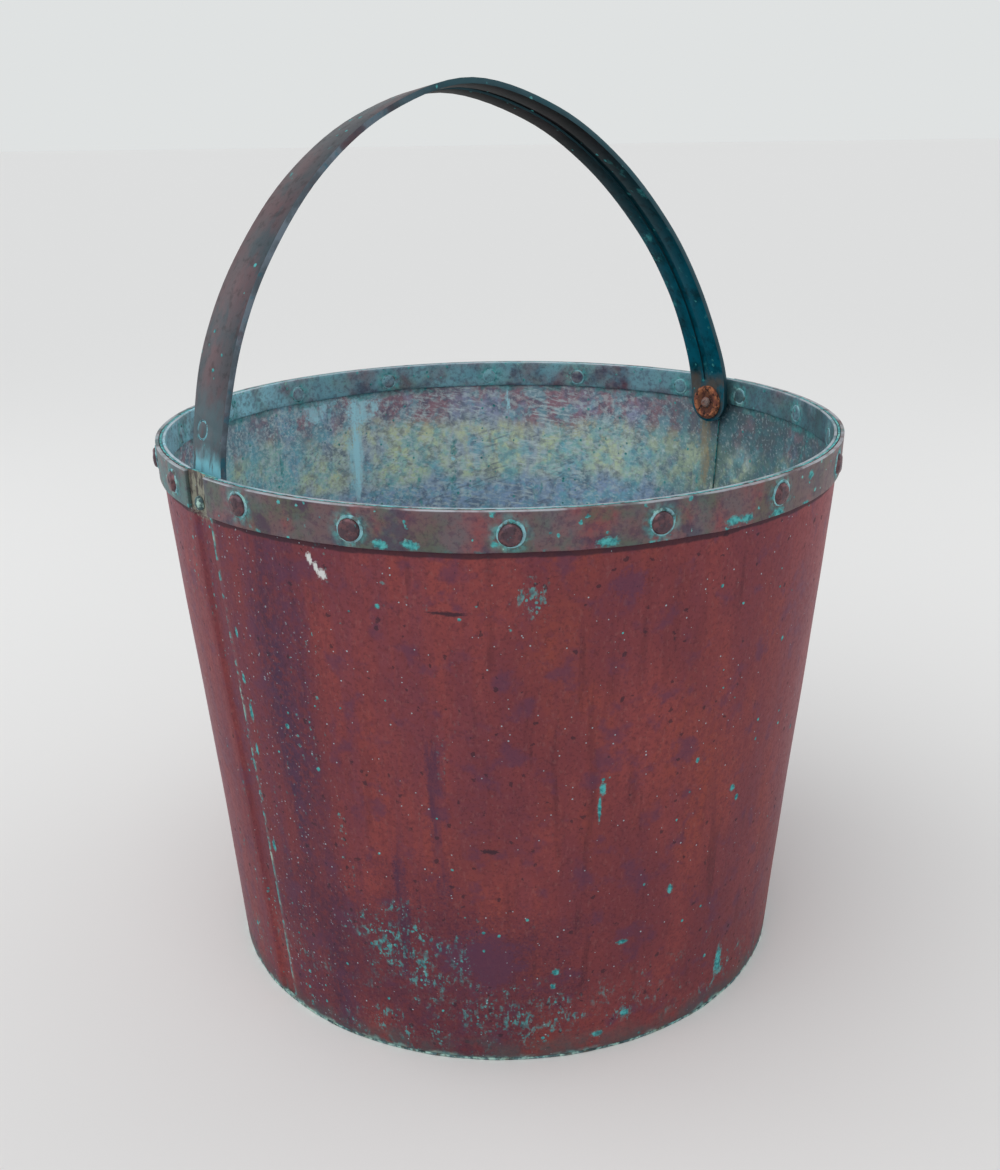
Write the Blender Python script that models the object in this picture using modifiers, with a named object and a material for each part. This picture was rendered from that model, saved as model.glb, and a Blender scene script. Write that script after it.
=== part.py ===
"""A riveted copper bucket: two bent wall sheets, a base, rim bands, rivets and an arched strap bail.

Units are metres and degrees. +Z is up and the bucket stands on z = 0 with its axis on Z.
An azimuth is counted from -Y towards +X, so azimuth 0 is the front and 90 is the right side.
"""
import math

import bmesh
import bpy
from mathutils import Matrix, Vector

# Clearance between touching pieces
GAP = 0.0003

# Wall: two sheets lapped at two upright seams
BUCKET_HEIGHT = 0.3493
WALL_TOP_RADIUS = 0.2125
WALL_BASE_RADIUS = 0.1861
WALL_THICKNESS = 0.0015
WALL_SWELL = 0.0017
WALL_ROWS = 6
SHEET_COLUMNS = 44

# Base disc under the wall
BASE_THICKNESS = 0.0016

# Bands round the rim
OUTER_BAND_THICKNESS = 0.0022
INNER_BAND_THICKNESS = 0.0018
OUTER_BAND_DEPTH = 0.022
INNER_BAND_DEPTH = 0.0183
BAND_STEPS = 40

# Azimuths of the bail's two ends: not quite opposite each other
RIGHT_PIVOT_AZIMUTH = 131.1
LEFT_PIVOT_AZIMUTH = -50.5

# Left seam: the front sheet's cut edge leans a little from top to bottom
LEFT_SEAM_TOP = 3.0
LEFT_SEAM_LEAN = 2.5
LEFT_SEAM_CHANNEL_TOP = 5.3
LEFT_SEAM_CHANNEL_FOOT = 4.6
LEFT_SEAM_LAP = 2.4
# Right seam
RIGHT_SEAM_TOP = 2.5
RIGHT_SEAM_CHANNEL = 1.4
RIGHT_SEAM_LAP = 3.9
JOGGLE_WIDTH = 0.8

# Ends of the half bands, counted from the pivot at the same side
LEFT_OUTER_GAP = (-2.1, 3.7)
RIGHT_OUTER_GAP = (-3.7, 2.1)
LEFT_INNER_GAP = (-3.0, 6.0)
RIGHT_INNER_GAP = (-1.9, 5.2)

# Band rivets: azimuth and depth below the rim, each punched by eye
FRONT_RIVETS = (
    (-38.6, 0.0098),
    (-19.2, 0.0128),
    (2.6, 0.0124),
    (23.4, 0.0118),
    (45.4, 0.0100),
    (67.5, 0.0112),
    (86.5, 0.0115),
    (105.3, 0.0110),
    (124.3, 0.0112),
)
BACK_RIVETS = (
    (140.0, 0.0114),
    (164.2, 0.0112),
    (183.4, 0.0110),
    (205.9, 0.0112),
    (227.9, 0.0114),
    (247.7, 0.0112),
    (268.1, 0.0112),
    (285.0, 0.0110),
    (301.7, 0.0112),
)
RIVET_HEAD_RADIUS = 0.0062
RIVET_HEAD_RISE = 0.0034
RIVET_SHANK_RADIUS = 0.003
RIVET_TAIL_RADIUS = 0.0050
RIVET_TAIL_RISE = 0.0007
RIVET_SIDES = 12

# Bail: an arched strap that turns on two rivets inside the rim
PIVOT_DEPTH = 0.0178
BAIL_WIDTH = 0.0320
BAIL_THICKNESS = 0.0034
BAIL_LEAN = 3.5
# Room between the wall's face and the outside of each strap end
BAIL_CLEARANCE = 0.00726
BAIL_RISE = 0.2195
# The outer line of the arch, pulled out of shape towards its left end: shares of the half span and rise
ARCH_SHARES = (
    (-1.0, 0.057),
    (-0.979, 0.196),
    (-0.918, 0.390),
    (-0.804, 0.585),
    (-0.621, 0.781),
    (-0.381, 0.927),
    (-0.081, 1.0),
    (0.244, 0.927),
    (0.508, 0.781),
    (0.726, 0.585),
    (0.870, 0.390),
    (0.963, 0.196),
    (1.0, 0.057),
)
ARCH_STATIONS = 85
# Shares by which the strap is wider and lower one strap width towards the back, above its flat ends
BAIL_FLARE = 0.0160
BAIL_DROOP = 0.0112
FLARE_START = 0.0125
FLARE_FULL = 0.0800
END_ROUNDING = 0.0162
END_CENTRE = 0.0017
CHANNEL_WIDTH = 0.0060
CHANNEL_DEPTH = 0.0014
CHANNEL_START = 0.0160

# Pivot rivets, their dished washers and their spacers
PIVOT_SHANK_RADIUS = 0.0030
PIVOT_HEAD_RADIUS = 0.0043
PIVOT_HEAD_RISE = 0.0026
PIVOT_TAIL_RADIUS = 0.0040
PIVOT_TAIL_RISE = 0.0020
WASHER_RADIUS = 0.0123
WASHER_THICKNESS = 0.0014
WASHER_DISH = 0.0014
SPACER_RADIUS = 0.0065
PIVOT_SIDES = 20

# Flush rivet in the left leg of the bail
PLUG_HEIGHT = 0.0386
PLUG_OFFSET = 0.0056
PLUG_HEAD_RADIUS = 0.0052
PLUG_HEAD_DEPTH = 0.0009
PLUG_SHANK_RADIUS = 0.0020

# Colours: linear RGB, roughness and metallic of each finish
FINISHES = {
    "wall_copper": ((0.115, 0.036, 0.038), 0.45, 0.85),
    "band_copper": ((0.085, 0.045, 0.045), 0.50, 0.80),
    "rivet_copper": ((0.060, 0.035, 0.040), 0.45, 0.80),
    "base_copper": ((0.090, 0.090, 0.075), 0.65, 0.60),
    "bail_copper": ((0.040, 0.075, 0.085), 0.50, 0.80),
    "pivot_iron": ((0.130, 0.080, 0.060), 0.70, 0.50),
    "rusty_iron": ((0.230, 0.070, 0.028), 0.85, 0.20),
}

PARTS = "riveted_copper_bucket"
CUTTERS = "cutters"

ZONE_HEIGHT = BUCKET_HEIGHT - OUTER_BAND_DEPTH - 0.001
WALL_FOOT = BASE_THICKNESS + GAP
PIVOT_HEIGHT = BUCKET_HEIGHT - PIVOT_DEPTH
LAP_INSET = WALL_THICKNESS + GAP


def clear_scene():
    """Remove every object that is in the scene."""
    for item in list(bpy.data.objects):
        bpy.data.objects.remove(item, do_unlink=True)


def make_collection(name):
    """Make a collection in the scene."""
    collection = bpy.data.collections.new(name)
    bpy.context.scene.collection.children.link(collection)
    return collection


def make_finish(name):
    """Make one Principled material from its colour, roughness and metallic value."""
    colour, roughness, metallic = FINISHES[name]
    material = bpy.data.materials.new(name)
    material.use_nodes = True
    shader = material.node_tree.nodes["Principled BSDF"]
    shader.inputs["Base Color"].default_value = (*colour, 1.0)
    shader.inputs["Roughness"].default_value = roughness
    shader.inputs["Metallic"].default_value = metallic
    return material


def add_object(name, mesh, finish=None):
    """Link a mesh as a named part, or as a hidden cutter when it has no finish."""
    item = bpy.data.objects.new(name, mesh)
    if finish:
        bpy.data.collections[PARTS].objects.link(item)
        mesh.materials.append(bpy.data.materials[finish])
    else:
        bpy.data.collections[CUTTERS].objects.link(item)
        item.hide_render = True
        item.display_type = "WIRE"
    return item


def mesh_from(bm, name):
    """Turn a bmesh into mesh data."""
    mesh = bpy.data.meshes.new(name)
    bm.to_mesh(mesh)
    bm.free()
    return mesh


def shade_round(item, angle=35.0):
    """Shade an object's faces smooth up to an angle."""
    item.data.shade_smooth()
    item.data.set_sharp_from_angle(angle=math.radians(angle))


def cone_radius(z):
    """Radius of the straight cone between the wall's foot and its top edge."""
    share = z / BUCKET_HEIGHT
    return WALL_BASE_RADIUS + (WALL_TOP_RADIUS - WALL_BASE_RADIUS) * share


def wall_radius(z):
    """Outer radius of the wall: a cone with a slight swell, and straight under the bands."""
    if z < ZONE_HEIGHT:
        return cone_radius(z) + WALL_SWELL * math.sin(math.pi * (z / BUCKET_HEIGHT) ** 3)
    swell = WALL_SWELL * math.sin(math.pi * (ZONE_HEIGHT / BUCKET_HEIGHT) ** 3)
    low = cone_radius(ZONE_HEIGHT) + swell
    share = (z - ZONE_HEIGHT) / (BUCKET_HEIGHT - ZONE_HEIGHT)
    return low + (WALL_TOP_RADIUS - low) * share


RIM_SLOPE = (WALL_TOP_RADIUS - wall_radius(ZONE_HEIGHT)) / (BUCKET_HEIGHT - ZONE_HEIGHT)


def on_circle(azimuth, radius, z):
    """Point at an azimuth, radius and height."""
    angle = math.radians(azimuth)
    return Vector((radius * math.sin(angle), -radius * math.cos(angle), z))


def left_seam(z):
    """Azimuth of the front sheet's cut edge at the left seam."""
    top = LEFT_PIVOT_AZIMUTH + LEFT_SEAM_TOP
    return top + LEFT_SEAM_LEAN * (1.0 - z / BUCKET_HEIGHT)


def left_channel(z):
    """Width in degrees of the step beside the left seam."""
    share = z / BUCKET_HEIGHT
    return LEFT_SEAM_CHANNEL_FOOT + (LEFT_SEAM_CHANNEL_TOP - LEFT_SEAM_CHANNEL_FOOT) * share


def right_seam(z):
    """Azimuth of the front sheet's cut edge at the right seam."""
    return RIGHT_PIVOT_AZIMUTH + RIGHT_SEAM_TOP


def spread(first, last, count):
    """Evenly spaced values from first to last."""
    return [first + (last - first) * i / (count - 1) for i in range(count)]


def front_columns(z):
    """Azimuth and inset of each column of the front sheet at one height."""
    return [(azimuth, 0.0) for azimuth in spread(left_seam(z), right_seam(z), SHEET_COLUMNS)]


def back_columns(z):
    """Azimuth and inset of each column of the back sheet, which steps in at its two edges."""
    right_end = right_seam(z) - RIGHT_SEAM_LAP
    right_inner = right_seam(z) + RIGHT_SEAM_CHANNEL
    left_outer = 360.0 + left_seam(z) - left_channel(z)
    left_inner = left_outer + JOGGLE_WIDTH
    left_end = 360.0 + left_seam(z) + LEFT_SEAM_LAP
    columns = [(azimuth, LAP_INSET) for azimuth in spread(right_end, right_inner, 3)]
    columns += [(azimuth, 0.0) for azimuth in spread(right_inner + JOGGLE_WIDTH, left_outer, SHEET_COLUMNS)]
    columns += [(azimuth, LAP_INSET) for azimuth in spread(left_inner, left_end, 3)]
    return columns


def wall_rows():
    """Heights of the wall's rows: even up to the band zone, then one at the rim."""
    return spread(WALL_FOOT, ZONE_HEIGHT, WALL_ROWS) + [BUCKET_HEIGHT]


def add_solidify(item, thickness):
    """Give an outward-facing surface its thickness on the inner side."""
    wall = item.modifiers.new("thickness", "SOLIDIFY")
    wall.thickness = thickness
    wall.offset = -1.0
    wall.use_even_offset = True


def add_cut(item, cutter):
    """Cut one object with another."""
    cut = item.modifiers.new("cut_" + cutter.name, "BOOLEAN")
    cut.operation = "DIFFERENCE"
    cut.solver = "EXACT"
    cut.object = cutter


def make_sheet(name, columns):
    """Bend one wall sheet: an open surface on the wall's cone that is given its thickness."""
    bm = bmesh.new()
    rows = []
    for z in wall_rows():
        row = [bm.verts.new(on_circle(azimuth, wall_radius(z) - inset, z)) for azimuth, inset in columns(z)]
        rows.append(row)
    for lower, upper in zip(rows, rows[1:]):
        for i in range(len(lower) - 1):
            bm.faces.new((lower[i], lower[i + 1], upper[i + 1], upper[i]))
    sheet = add_object(name, mesh_from(bm, name), "wall_copper")
    add_solidify(sheet, WALL_THICKNESS)
    shade_round(sheet)
    return sheet


def make_base():
    """Make the base disc, which the wall's lower edge stands on."""
    bpy.ops.mesh.primitive_cylinder_add(
        vertices=2 * SHEET_COLUMNS,
        radius=WALL_BASE_RADIUS,
        depth=BASE_THICKNESS,
        location=(0.0, 0.0, BASE_THICKNESS / 2.0),
    )
    base = bpy.context.object
    base.name = "base"
    base.data.name = "base"
    base.data.materials.append(bpy.data.materials["base_copper"])
    for collection in list(base.users_collection):
        collection.objects.unlink(base)
    bpy.data.collections[PARTS].objects.link(base)
    shade_round(base)
    return base


def make_profile(name, points, finish=None, steps=RIVET_SIDES, angle=360.0):
    """Turn a profile, given as radius and height from its top to its bottom, about Z."""
    bm = bmesh.new()
    verts = [bm.verts.new((radius, 0.0, z)) for radius, z in points]
    for first, second in zip(verts, verts[1:]):
        bm.edges.new((first, second))
    item = add_object(name, mesh_from(bm, name), finish)
    screw = item.modifiers.new("turn", "SCREW")
    screw.axis = "Z"
    screw.angle = math.radians(angle)
    screw.steps = steps
    screw.render_steps = steps
    screw.use_merge_vertices = True
    screw.merge_threshold = 0.00001
    return item


def make_band(name, start, end, face_radius, depth, thickness):
    """Roll one half hoop, whose outer face follows the wall's slope under the rim."""
    points = [(face_radius, BUCKET_HEIGHT), (face_radius - RIM_SLOPE * depth, BUCKET_HEIGHT - depth)]
    band = make_profile(name, points, "band_copper", BAND_STEPS, end - start)
    band.rotation_euler.z = math.radians(start - 90.0)
    add_solidify(band, thickness)
    shade_round(band)
    return band


def outward_frame(azimuth, radius, z, tilt=0.0):
    """Matrix at a point on a circle, its Z axis pointing outwards and turned down by a tilt in radians."""
    turn = Matrix.Rotation(math.radians(azimuth - 90.0), 4, "Z")
    lay = Matrix.Rotation(math.pi / 2.0 + tilt, 4, "Y")
    return Matrix.Translation(on_circle(azimuth, radius, z)) @ turn @ lay


def rivet_frame(azimuth, drop):
    """Matrix of a band rivet: on the outer band's face, square to the wall."""
    z = BUCKET_HEIGHT - drop
    face = wall_radius(z) + GAP + OUTER_BAND_THICKNESS
    return outward_frame(azimuth, face, z, math.atan(RIM_SLOPE))


def dome(radius, rise, base):
    """Profile points of a round head from its top centre to its lower edge."""
    shares = (0.0, 0.5, 0.85, 1.0)
    return [(radius * share, base + rise * (1.0 - share ** 4) ** 0.6) for share in shares]


def band_stack():
    """Thickness of outer band, wall and inner band with their clearances."""
    return OUTER_BAND_THICKNESS + INNER_BAND_THICKNESS + WALL_THICKNESS + 2.0 * GAP


def make_band_rivet(name, azimuth, drop):
    """Make one rivet: a round head outside, a shank through bands and wall, and a flat tail inside."""
    tail_top = -band_stack() - GAP
    points = dome(RIVET_HEAD_RADIUS, RIVET_HEAD_RISE - GAP, GAP)
    points += [
        (RIVET_SHANK_RADIUS, GAP),
        (RIVET_SHANK_RADIUS, tail_top),
        (RIVET_TAIL_RADIUS, tail_top),
        (RIVET_TAIL_RADIUS * 0.93, tail_top - RIVET_TAIL_RISE),
        (0.0, tail_top - RIVET_TAIL_RISE),
    ]
    rivet = make_profile(name, points, "rivet_copper")
    rivet.matrix_world = rivet_frame(azimuth, drop)
    shade_round(rivet)
    return rivet


def hole_cutter(name, frames, radius, sides, length):
    """Join one straight pin for each hole into a cutter."""
    bm = bmesh.new()
    for frame in frames:
        bmesh.ops.create_cone(
            bm,
            cap_ends=True,
            segments=sides,
            radius1=radius,
            radius2=radius,
            depth=length,
            matrix=frame,
        )
    return add_object(name, mesh_from(bm, name))


def half_span():
    """Half the distance between the outsides of the strap's two ends."""
    return pivot_axis()[2] - BAIL_CLEARANCE


def arch_line():
    """Points of the arch's outer line, from its left end over the crown to its right end."""
    controls = [Vector((along * half_span(), up * BAIL_RISE)) for along, up in ARCH_SHARES]
    step = controls[1].y - controls[0].y
    ends = [Vector((point.x, point.y - step)) for point in (controls[0], controls[-1])]
    padded = [ends[0]] + controls + [ends[1]]
    points = []
    count = len(controls) - 1
    for i in range(ARCH_STATIONS):
        place = count * i / (ARCH_STATIONS - 1)
        k = min(int(place), count - 1)
        points.append(smooth_point(padded[k:k + 4], place - k))
    return points


def smooth_point(controls, share):
    """Point on a Catmull-Rom curve between the middle two of four control points."""
    a, b, c, d = controls
    linear = (c - a) * share
    square = (2.0 * a - 5.0 * b + 4.0 * c - d) * share ** 2
    cubic = (3.0 * (b - c) + d - a) * share ** 3
    return 0.5 * (2.0 * b + linear + square + cubic)


def inset_line(points, distance):
    """Offset the arch towards its inside."""
    inner = []
    for i, point in enumerate(points):
        before = points[max(i - 1, 0)]
        after = points[min(i + 1, len(points) - 1)]
        along = (after - before).normalized()
        inner.append(point + Vector((along.y, -along.x)) * distance)
    return inner


def pivot_axis():
    """Middle of the line between the two pivots, its direction and half the distance between their seats."""
    radius = wall_radius(PIVOT_HEIGHT)
    left = on_circle(LEFT_PIVOT_AZIMUTH, radius, PIVOT_HEIGHT)
    right = on_circle(RIGHT_PIVOT_AZIMUTH, radius, PIVOT_HEIGHT)
    return (left + right) / 2.0, (right - left).normalized(), (right - left).length / 2.0


def pivot_frame(side):
    """Matrix on the middle of the pivots' line, its Z axis pointing to one of its ends."""
    middle, along, _ = pivot_axis()
    turn = Matrix.Rotation(math.atan2(along.y, along.x), 4, "Z")
    lay = Matrix.Rotation(side * math.pi / 2.0, 4, "Y")
    return Matrix.Translation(middle) @ turn @ lay


def make_arch(name, outer, inner, width, finish=None):
    """Extrude the outline between two arch lines across the strap's width."""
    outline = outer + inner[::-1]
    curve = bpy.data.curves.new(name, "CURVE")
    curve.dimensions = "2D"
    curve.fill_mode = "BOTH"
    curve.extrude = width / 2.0
    spline = curve.splines.new("POLY")
    spline.points.add(len(outline) - 1)
    for slot, point in zip(spline.points, outline):
        slot.co = (point.x, point.y, 0.0, 1.0)
    spline.use_cyclic_u = True
    flat = bpy.data.objects.new(name + "_outline", curve)
    bpy.context.scene.collection.objects.link(flat)
    bpy.context.view_layer.update()
    evaluated = flat.evaluated_get(bpy.context.evaluated_depsgraph_get())
    mesh = bpy.data.meshes.new_from_object(evaluated)
    bpy.data.objects.remove(flat, do_unlink=True)
    bpy.data.curves.remove(curve)
    bm = bmesh.new()
    bm.from_mesh(mesh)
    bmesh.ops.remove_doubles(bm, verts=bm.verts, dist=0.00001)
    bm.transform(Matrix.Rotation(math.pi / 2.0, 4, "X"))
    bmesh.ops.recalc_face_normals(bm, faces=bm.faces)
    bm.to_mesh(mesh)
    bm.free()
    mesh.materials.clear()
    return add_object(name, mesh, finish)


def end_cutter(parent):
    """Make the cutter that rounds the strap's two ends: a bar with a round mouth at each end."""
    reach = half_span() * 1.2
    bpy.ops.mesh.primitive_cube_add(size=1.0, location=(0.0, 0.0, END_CENTRE - BAIL_WIDTH / 2.0))
    bar = bpy.context.object
    bar.name = "end_bar"
    bar.data.transform(Matrix.Diagonal((2.0 * reach, BAIL_WIDTH * 1.5, BAIL_WIDTH, 1.0)))
    bpy.ops.mesh.primitive_cylinder_add(
        vertices=2 * PIVOT_SIDES,
        radius=END_ROUNDING,
        depth=3.0 * reach,
        location=(0.0, 0.0, END_CENTRE),
        rotation=(0.0, math.pi / 2.0, 0.0),
    )
    mouth = bpy.context.object
    mouth.name = "end_mouth"
    for item in (bar, mouth):
        for collection in list(item.users_collection):
            collection.objects.unlink(item)
        bpy.data.collections[CUTTERS].objects.link(item)
        item.hide_render = True
        item.display_type = "WIRE"
        item.parent = parent
    add_cut(bar, mouth)
    return bar


def make_bail():
    """Make the bail: the arched strap with its channel, rounded ends and holes, and its flush rivet."""
    middle, along, _ = pivot_axis()
    pivot = bpy.data.objects.new("bail_pivot", None)
    bpy.data.collections[PARTS].objects.link(pivot)
    turn = Matrix.Rotation(math.atan2(along.y, along.x), 4, "Z")
    lean = Matrix.Rotation(math.radians(-BAIL_LEAN), 4, "X")
    pivot.matrix_world = Matrix.Translation(middle) @ turn @ lean

    arch = arch_line()
    foot = [Vector((side * half_span(), -END_ROUNDING * 1.1)) for side in (-1.0, 1.0)]
    outer = [foot[0]] + arch + [foot[1]]
    strap = make_arch("bail_strap", outer, inset_line(outer, BAIL_THICKNESS), BAIL_WIDTH, "bail_copper")
    strap.parent = pivot
    add_cut(strap, end_cutter(pivot))
    lay = Matrix.Rotation(math.pi / 2.0, 4, "Y")
    bore = hole_cutter("bail_bore", [lay], PIVOT_SHANK_RADIUS + GAP, PIVOT_SIDES, 3.0 * half_span())
    bore.parent = pivot
    add_cut(strap, bore)
    plug = make_plug(strap, pivot, arch)

    run = [point for point in arch if point.y > CHANNEL_START]
    floor = inset_line(run, BAIL_THICKNESS - CHANNEL_DEPTH)
    beyond = inset_line(run, BAIL_THICKNESS * 2.0)
    channel = make_arch("channel", floor, beyond, CHANNEL_WIDTH)
    channel.parent = pivot
    add_cut(strap, channel)
    for item in (strap, plug):
        flare(item)
        shade_round(item)


def flare(item):
    """Bend a piece of the bail so that the back edge stands wider and lower than the front edge."""
    bpy.context.view_layer.update()
    evaluated = item.evaluated_get(bpy.context.evaluated_depsgraph_get())
    mesh = bpy.data.meshes.new_from_object(evaluated)
    mesh.transform(item.matrix_local)
    for vertex in mesh.vertices:
        x, y, z = vertex.co
        share = min(max((z - FLARE_START) / (FLARE_FULL - FLARE_START), 0.0), 1.0)
        ramp = share * share * (3.0 - 2.0 * share)
        back = y / BAIL_WIDTH * ramp
        vertex.co.x = x * (1.0 + BAIL_FLARE * back)
        vertex.co.z = z * (1.0 - BAIL_DROOP * back)
    item.modifiers.clear()
    item.data = mesh
    item.matrix_basis = Matrix.Identity(4)


def leg_point(arch, height):
    """Point and outward direction on the left leg's outer face at a height above the pivot."""
    for low, high in zip(arch, arch[1:]):
        if low.y <= height < high.y:
            share = (height - low.y) / (high.y - low.y)
            along = (high - low).normalized()
            return low.lerp(high, share), Vector((-along.y, along.x))
    raise ValueError("the height lies outside the leg")


def make_plug(strap, pivot, arch):
    """Make the flush rivet of the left leg and cut its countersunk seat."""
    point, out = leg_point(arch, PLUG_HEIGHT)
    tilt = math.atan2(out.y, -out.x)
    place = Matrix.Translation((point.x, PLUG_OFFSET, point.y))
    frame = place @ Matrix.Rotation(-math.pi / 2.0 + tilt, 4, "Y")
    recess = PLUG_HEAD_DEPTH + GAP
    seat = [
        (0.0, BAIL_THICKNESS),
        (PLUG_HEAD_RADIUS + GAP, BAIL_THICKNESS),
        (PLUG_HEAD_RADIUS + GAP, -recess),
        (PLUG_SHANK_RADIUS + GAP, -recess),
        (PLUG_SHANK_RADIUS + GAP, -2.0 * BAIL_THICKNESS),
        (0.0, -2.0 * BAIL_THICKNESS),
    ]
    cutter = make_profile("plug_seat", seat, None, PIVOT_SIDES)
    cutter.parent = pivot
    cutter.matrix_basis = frame
    add_cut(strap, cutter)
    points = [
        (0.0, 0.0),
        (PLUG_HEAD_RADIUS, 0.0),
        (PLUG_HEAD_RADIUS, -PLUG_HEAD_DEPTH),
        (PLUG_SHANK_RADIUS, -PLUG_HEAD_DEPTH),
        (PLUG_SHANK_RADIUS, -BAIL_THICKNESS),
        (0.0, -BAIL_THICKNESS),
    ]
    plug = make_profile("bail_plug_rivet", points, "bail_copper", PIVOT_SIDES)
    plug.parent = pivot
    plug.matrix_basis = frame
    return plug


def make_pivot(name, side, seat):
    """Make one pivot's rivet, washer and spacer on the bail's axis, the rivet's head on a seat."""
    strap_inside = half_span() - BAIL_THICKNESS
    frame = pivot_frame(side)
    skew = math.radians((RIGHT_PIVOT_AZIMUTH - LEFT_PIVOT_AZIMUTH - 180.0) / 2.0)
    slope = math.hypot(RIM_SLOPE, skew)

    head = seat + slope * PIVOT_HEAD_RADIUS + GAP
    washer_top = strap_inside - GAP
    tail = washer_top - WASHER_THICKNESS - GAP
    points = dome(PIVOT_HEAD_RADIUS, PIVOT_HEAD_RISE, head)
    points += [
        (PIVOT_SHANK_RADIUS, head),
        (PIVOT_SHANK_RADIUS, tail),
    ]
    points += [(radius, 2.0 * tail - z) for radius, z in dome(PIVOT_TAIL_RADIUS, PIVOT_TAIL_RISE, tail)[::-1]]
    rivet = make_profile("pivot_rivet_" + name, points, "pivot_iron", PIVOT_SIDES)
    rivet.matrix_world = frame
    shade_round(rivet)

    bore = PIVOT_SHANK_RADIUS + GAP
    bowl = PIVOT_TAIL_RADIUS + 2.0 * GAP
    lip = WASHER_RADIUS * 0.84
    ring = [
        (bore, washer_top),
        (WASHER_RADIUS, washer_top),
        (WASHER_RADIUS, washer_top - WASHER_THICKNESS),
        (lip, washer_top - WASHER_THICKNESS - WASHER_DISH),
        (bowl, washer_top - WASHER_THICKNESS),
        (bore, washer_top - WASHER_THICKNESS),
        (bore, washer_top),
    ]
    washer = make_profile("pivot_washer_" + name, ring, "rusty_iron", PIVOT_SIDES)
    washer.matrix_world = frame
    shade_round(washer)

    lap_face = pivot_axis()[2] - LAP_INSET - WALL_THICKNESS
    spacer_top = lap_face - slope * SPACER_RADIUS - GAP
    spacer_low = half_span() + GAP
    collar = [
        (bore, spacer_top),
        (SPACER_RADIUS, spacer_top),
        (SPACER_RADIUS, spacer_low),
        (bore, spacer_low),
        (bore, spacer_top),
    ]
    spacer = make_profile("pivot_spacer_" + name, collar, "pivot_iron", PIVOT_SIDES)
    spacer.matrix_world = frame
    shade_round(spacer)


def make_body():
    """Make the wall, the base, the bands and their rivets, and cut the rivet holes."""
    front_sheet = make_sheet("body_sheet_front", front_columns)
    back_sheet = make_sheet("body_sheet_back", back_columns)
    make_base()

    outside = WALL_TOP_RADIUS + GAP + OUTER_BAND_THICKNESS
    inside = WALL_TOP_RADIUS - WALL_THICKNESS - GAP
    left, right = LEFT_PIVOT_AZIMUTH, RIGHT_PIVOT_AZIMUTH
    bands = {}
    for place, size, left_gap, right_gap in (
        ("outer", (outside, OUTER_BAND_DEPTH, OUTER_BAND_THICKNESS), LEFT_OUTER_GAP, RIGHT_OUTER_GAP),
        ("inner", (inside, INNER_BAND_DEPTH, INNER_BAND_THICKNESS), LEFT_INNER_GAP, RIGHT_INNER_GAP),
    ):
        front = (left + left_gap[1], right + right_gap[0])
        back = (right + right_gap[1], left + left_gap[0] + 360.0)
        bands[place, "front"] = make_band(place + "_band_front", *front, *size)
        bands[place, "back"] = make_band(place + "_band_back", *back, *size)

    length = band_stack() * 4.0
    for half, rivets, sheet in (("front", FRONT_RIVETS, front_sheet), ("back", BACK_RIVETS, back_sheet)):
        frames = [rivet_frame(azimuth, drop) for azimuth, drop in rivets]
        holes = hole_cutter(half + "_rivet_holes", frames, RIVET_SHANK_RADIUS + GAP, RIVET_SIDES, length)
        for item in (sheet, bands["outer", half], bands["inner", half]):
            add_cut(item, holes)
        for number, (azimuth, drop) in enumerate(rivets, 1):
            make_band_rivet(f"rivet_{half}_{number}", azimuth, drop)

    span = pivot_axis()[2] * 3.0
    pivot_holes = hole_cutter("pivot_holes", [pivot_frame(1.0)], PIVOT_SHANK_RADIUS + GAP, PIVOT_SIDES, span)
    for sheet in (front_sheet, back_sheet):
        add_cut(sheet, pivot_holes)


def main():
    """Build the whole bucket."""
    clear_scene()
    make_collection(PARTS)
    make_collection(CUTTERS)
    for name in FINISHES:
        make_finish(name)
    make_body()
    make_bail()
    reach = pivot_axis()[2]
    make_pivot("left", -1.0, reach - LAP_INSET)
    make_pivot("right", 1.0, reach)


main()
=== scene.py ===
"""Dress the riveted copper bucket: patina, seams, hoops, rivets and bail, in a plain pale studio."""

import logging
import math
from dataclasses import dataclass
from enum import Enum
from functools import partialmethod
from typing import Any, Callable, Sequence

import bpy
from mathutils import Matrix, Vector, noise


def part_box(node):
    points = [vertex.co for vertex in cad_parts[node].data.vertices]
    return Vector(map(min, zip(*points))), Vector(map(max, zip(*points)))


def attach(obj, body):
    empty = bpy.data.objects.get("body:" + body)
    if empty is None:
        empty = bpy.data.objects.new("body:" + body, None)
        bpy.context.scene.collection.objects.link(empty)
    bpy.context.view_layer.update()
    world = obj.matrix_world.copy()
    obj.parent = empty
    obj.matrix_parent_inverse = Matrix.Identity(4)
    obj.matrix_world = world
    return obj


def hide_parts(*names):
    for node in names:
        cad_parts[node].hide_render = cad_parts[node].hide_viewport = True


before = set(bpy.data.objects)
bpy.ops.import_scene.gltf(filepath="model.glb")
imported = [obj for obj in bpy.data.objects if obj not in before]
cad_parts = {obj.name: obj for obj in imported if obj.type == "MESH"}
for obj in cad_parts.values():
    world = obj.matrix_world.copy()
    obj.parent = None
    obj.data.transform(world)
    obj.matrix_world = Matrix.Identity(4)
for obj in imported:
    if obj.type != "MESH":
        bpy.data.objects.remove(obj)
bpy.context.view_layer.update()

LOG = logging.getLogger("bucket")
WELD = 0.00001


class Part(Enum):
    """What a selection in edit mode is made of."""

    VERTS = "VERT"
    EDGES = "EDGE"
    FACES = "FACE"


class Body(Enum):
    """The two bodies of the object."""

    BUCKET = "bucket"
    BAIL = "bail"


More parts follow.
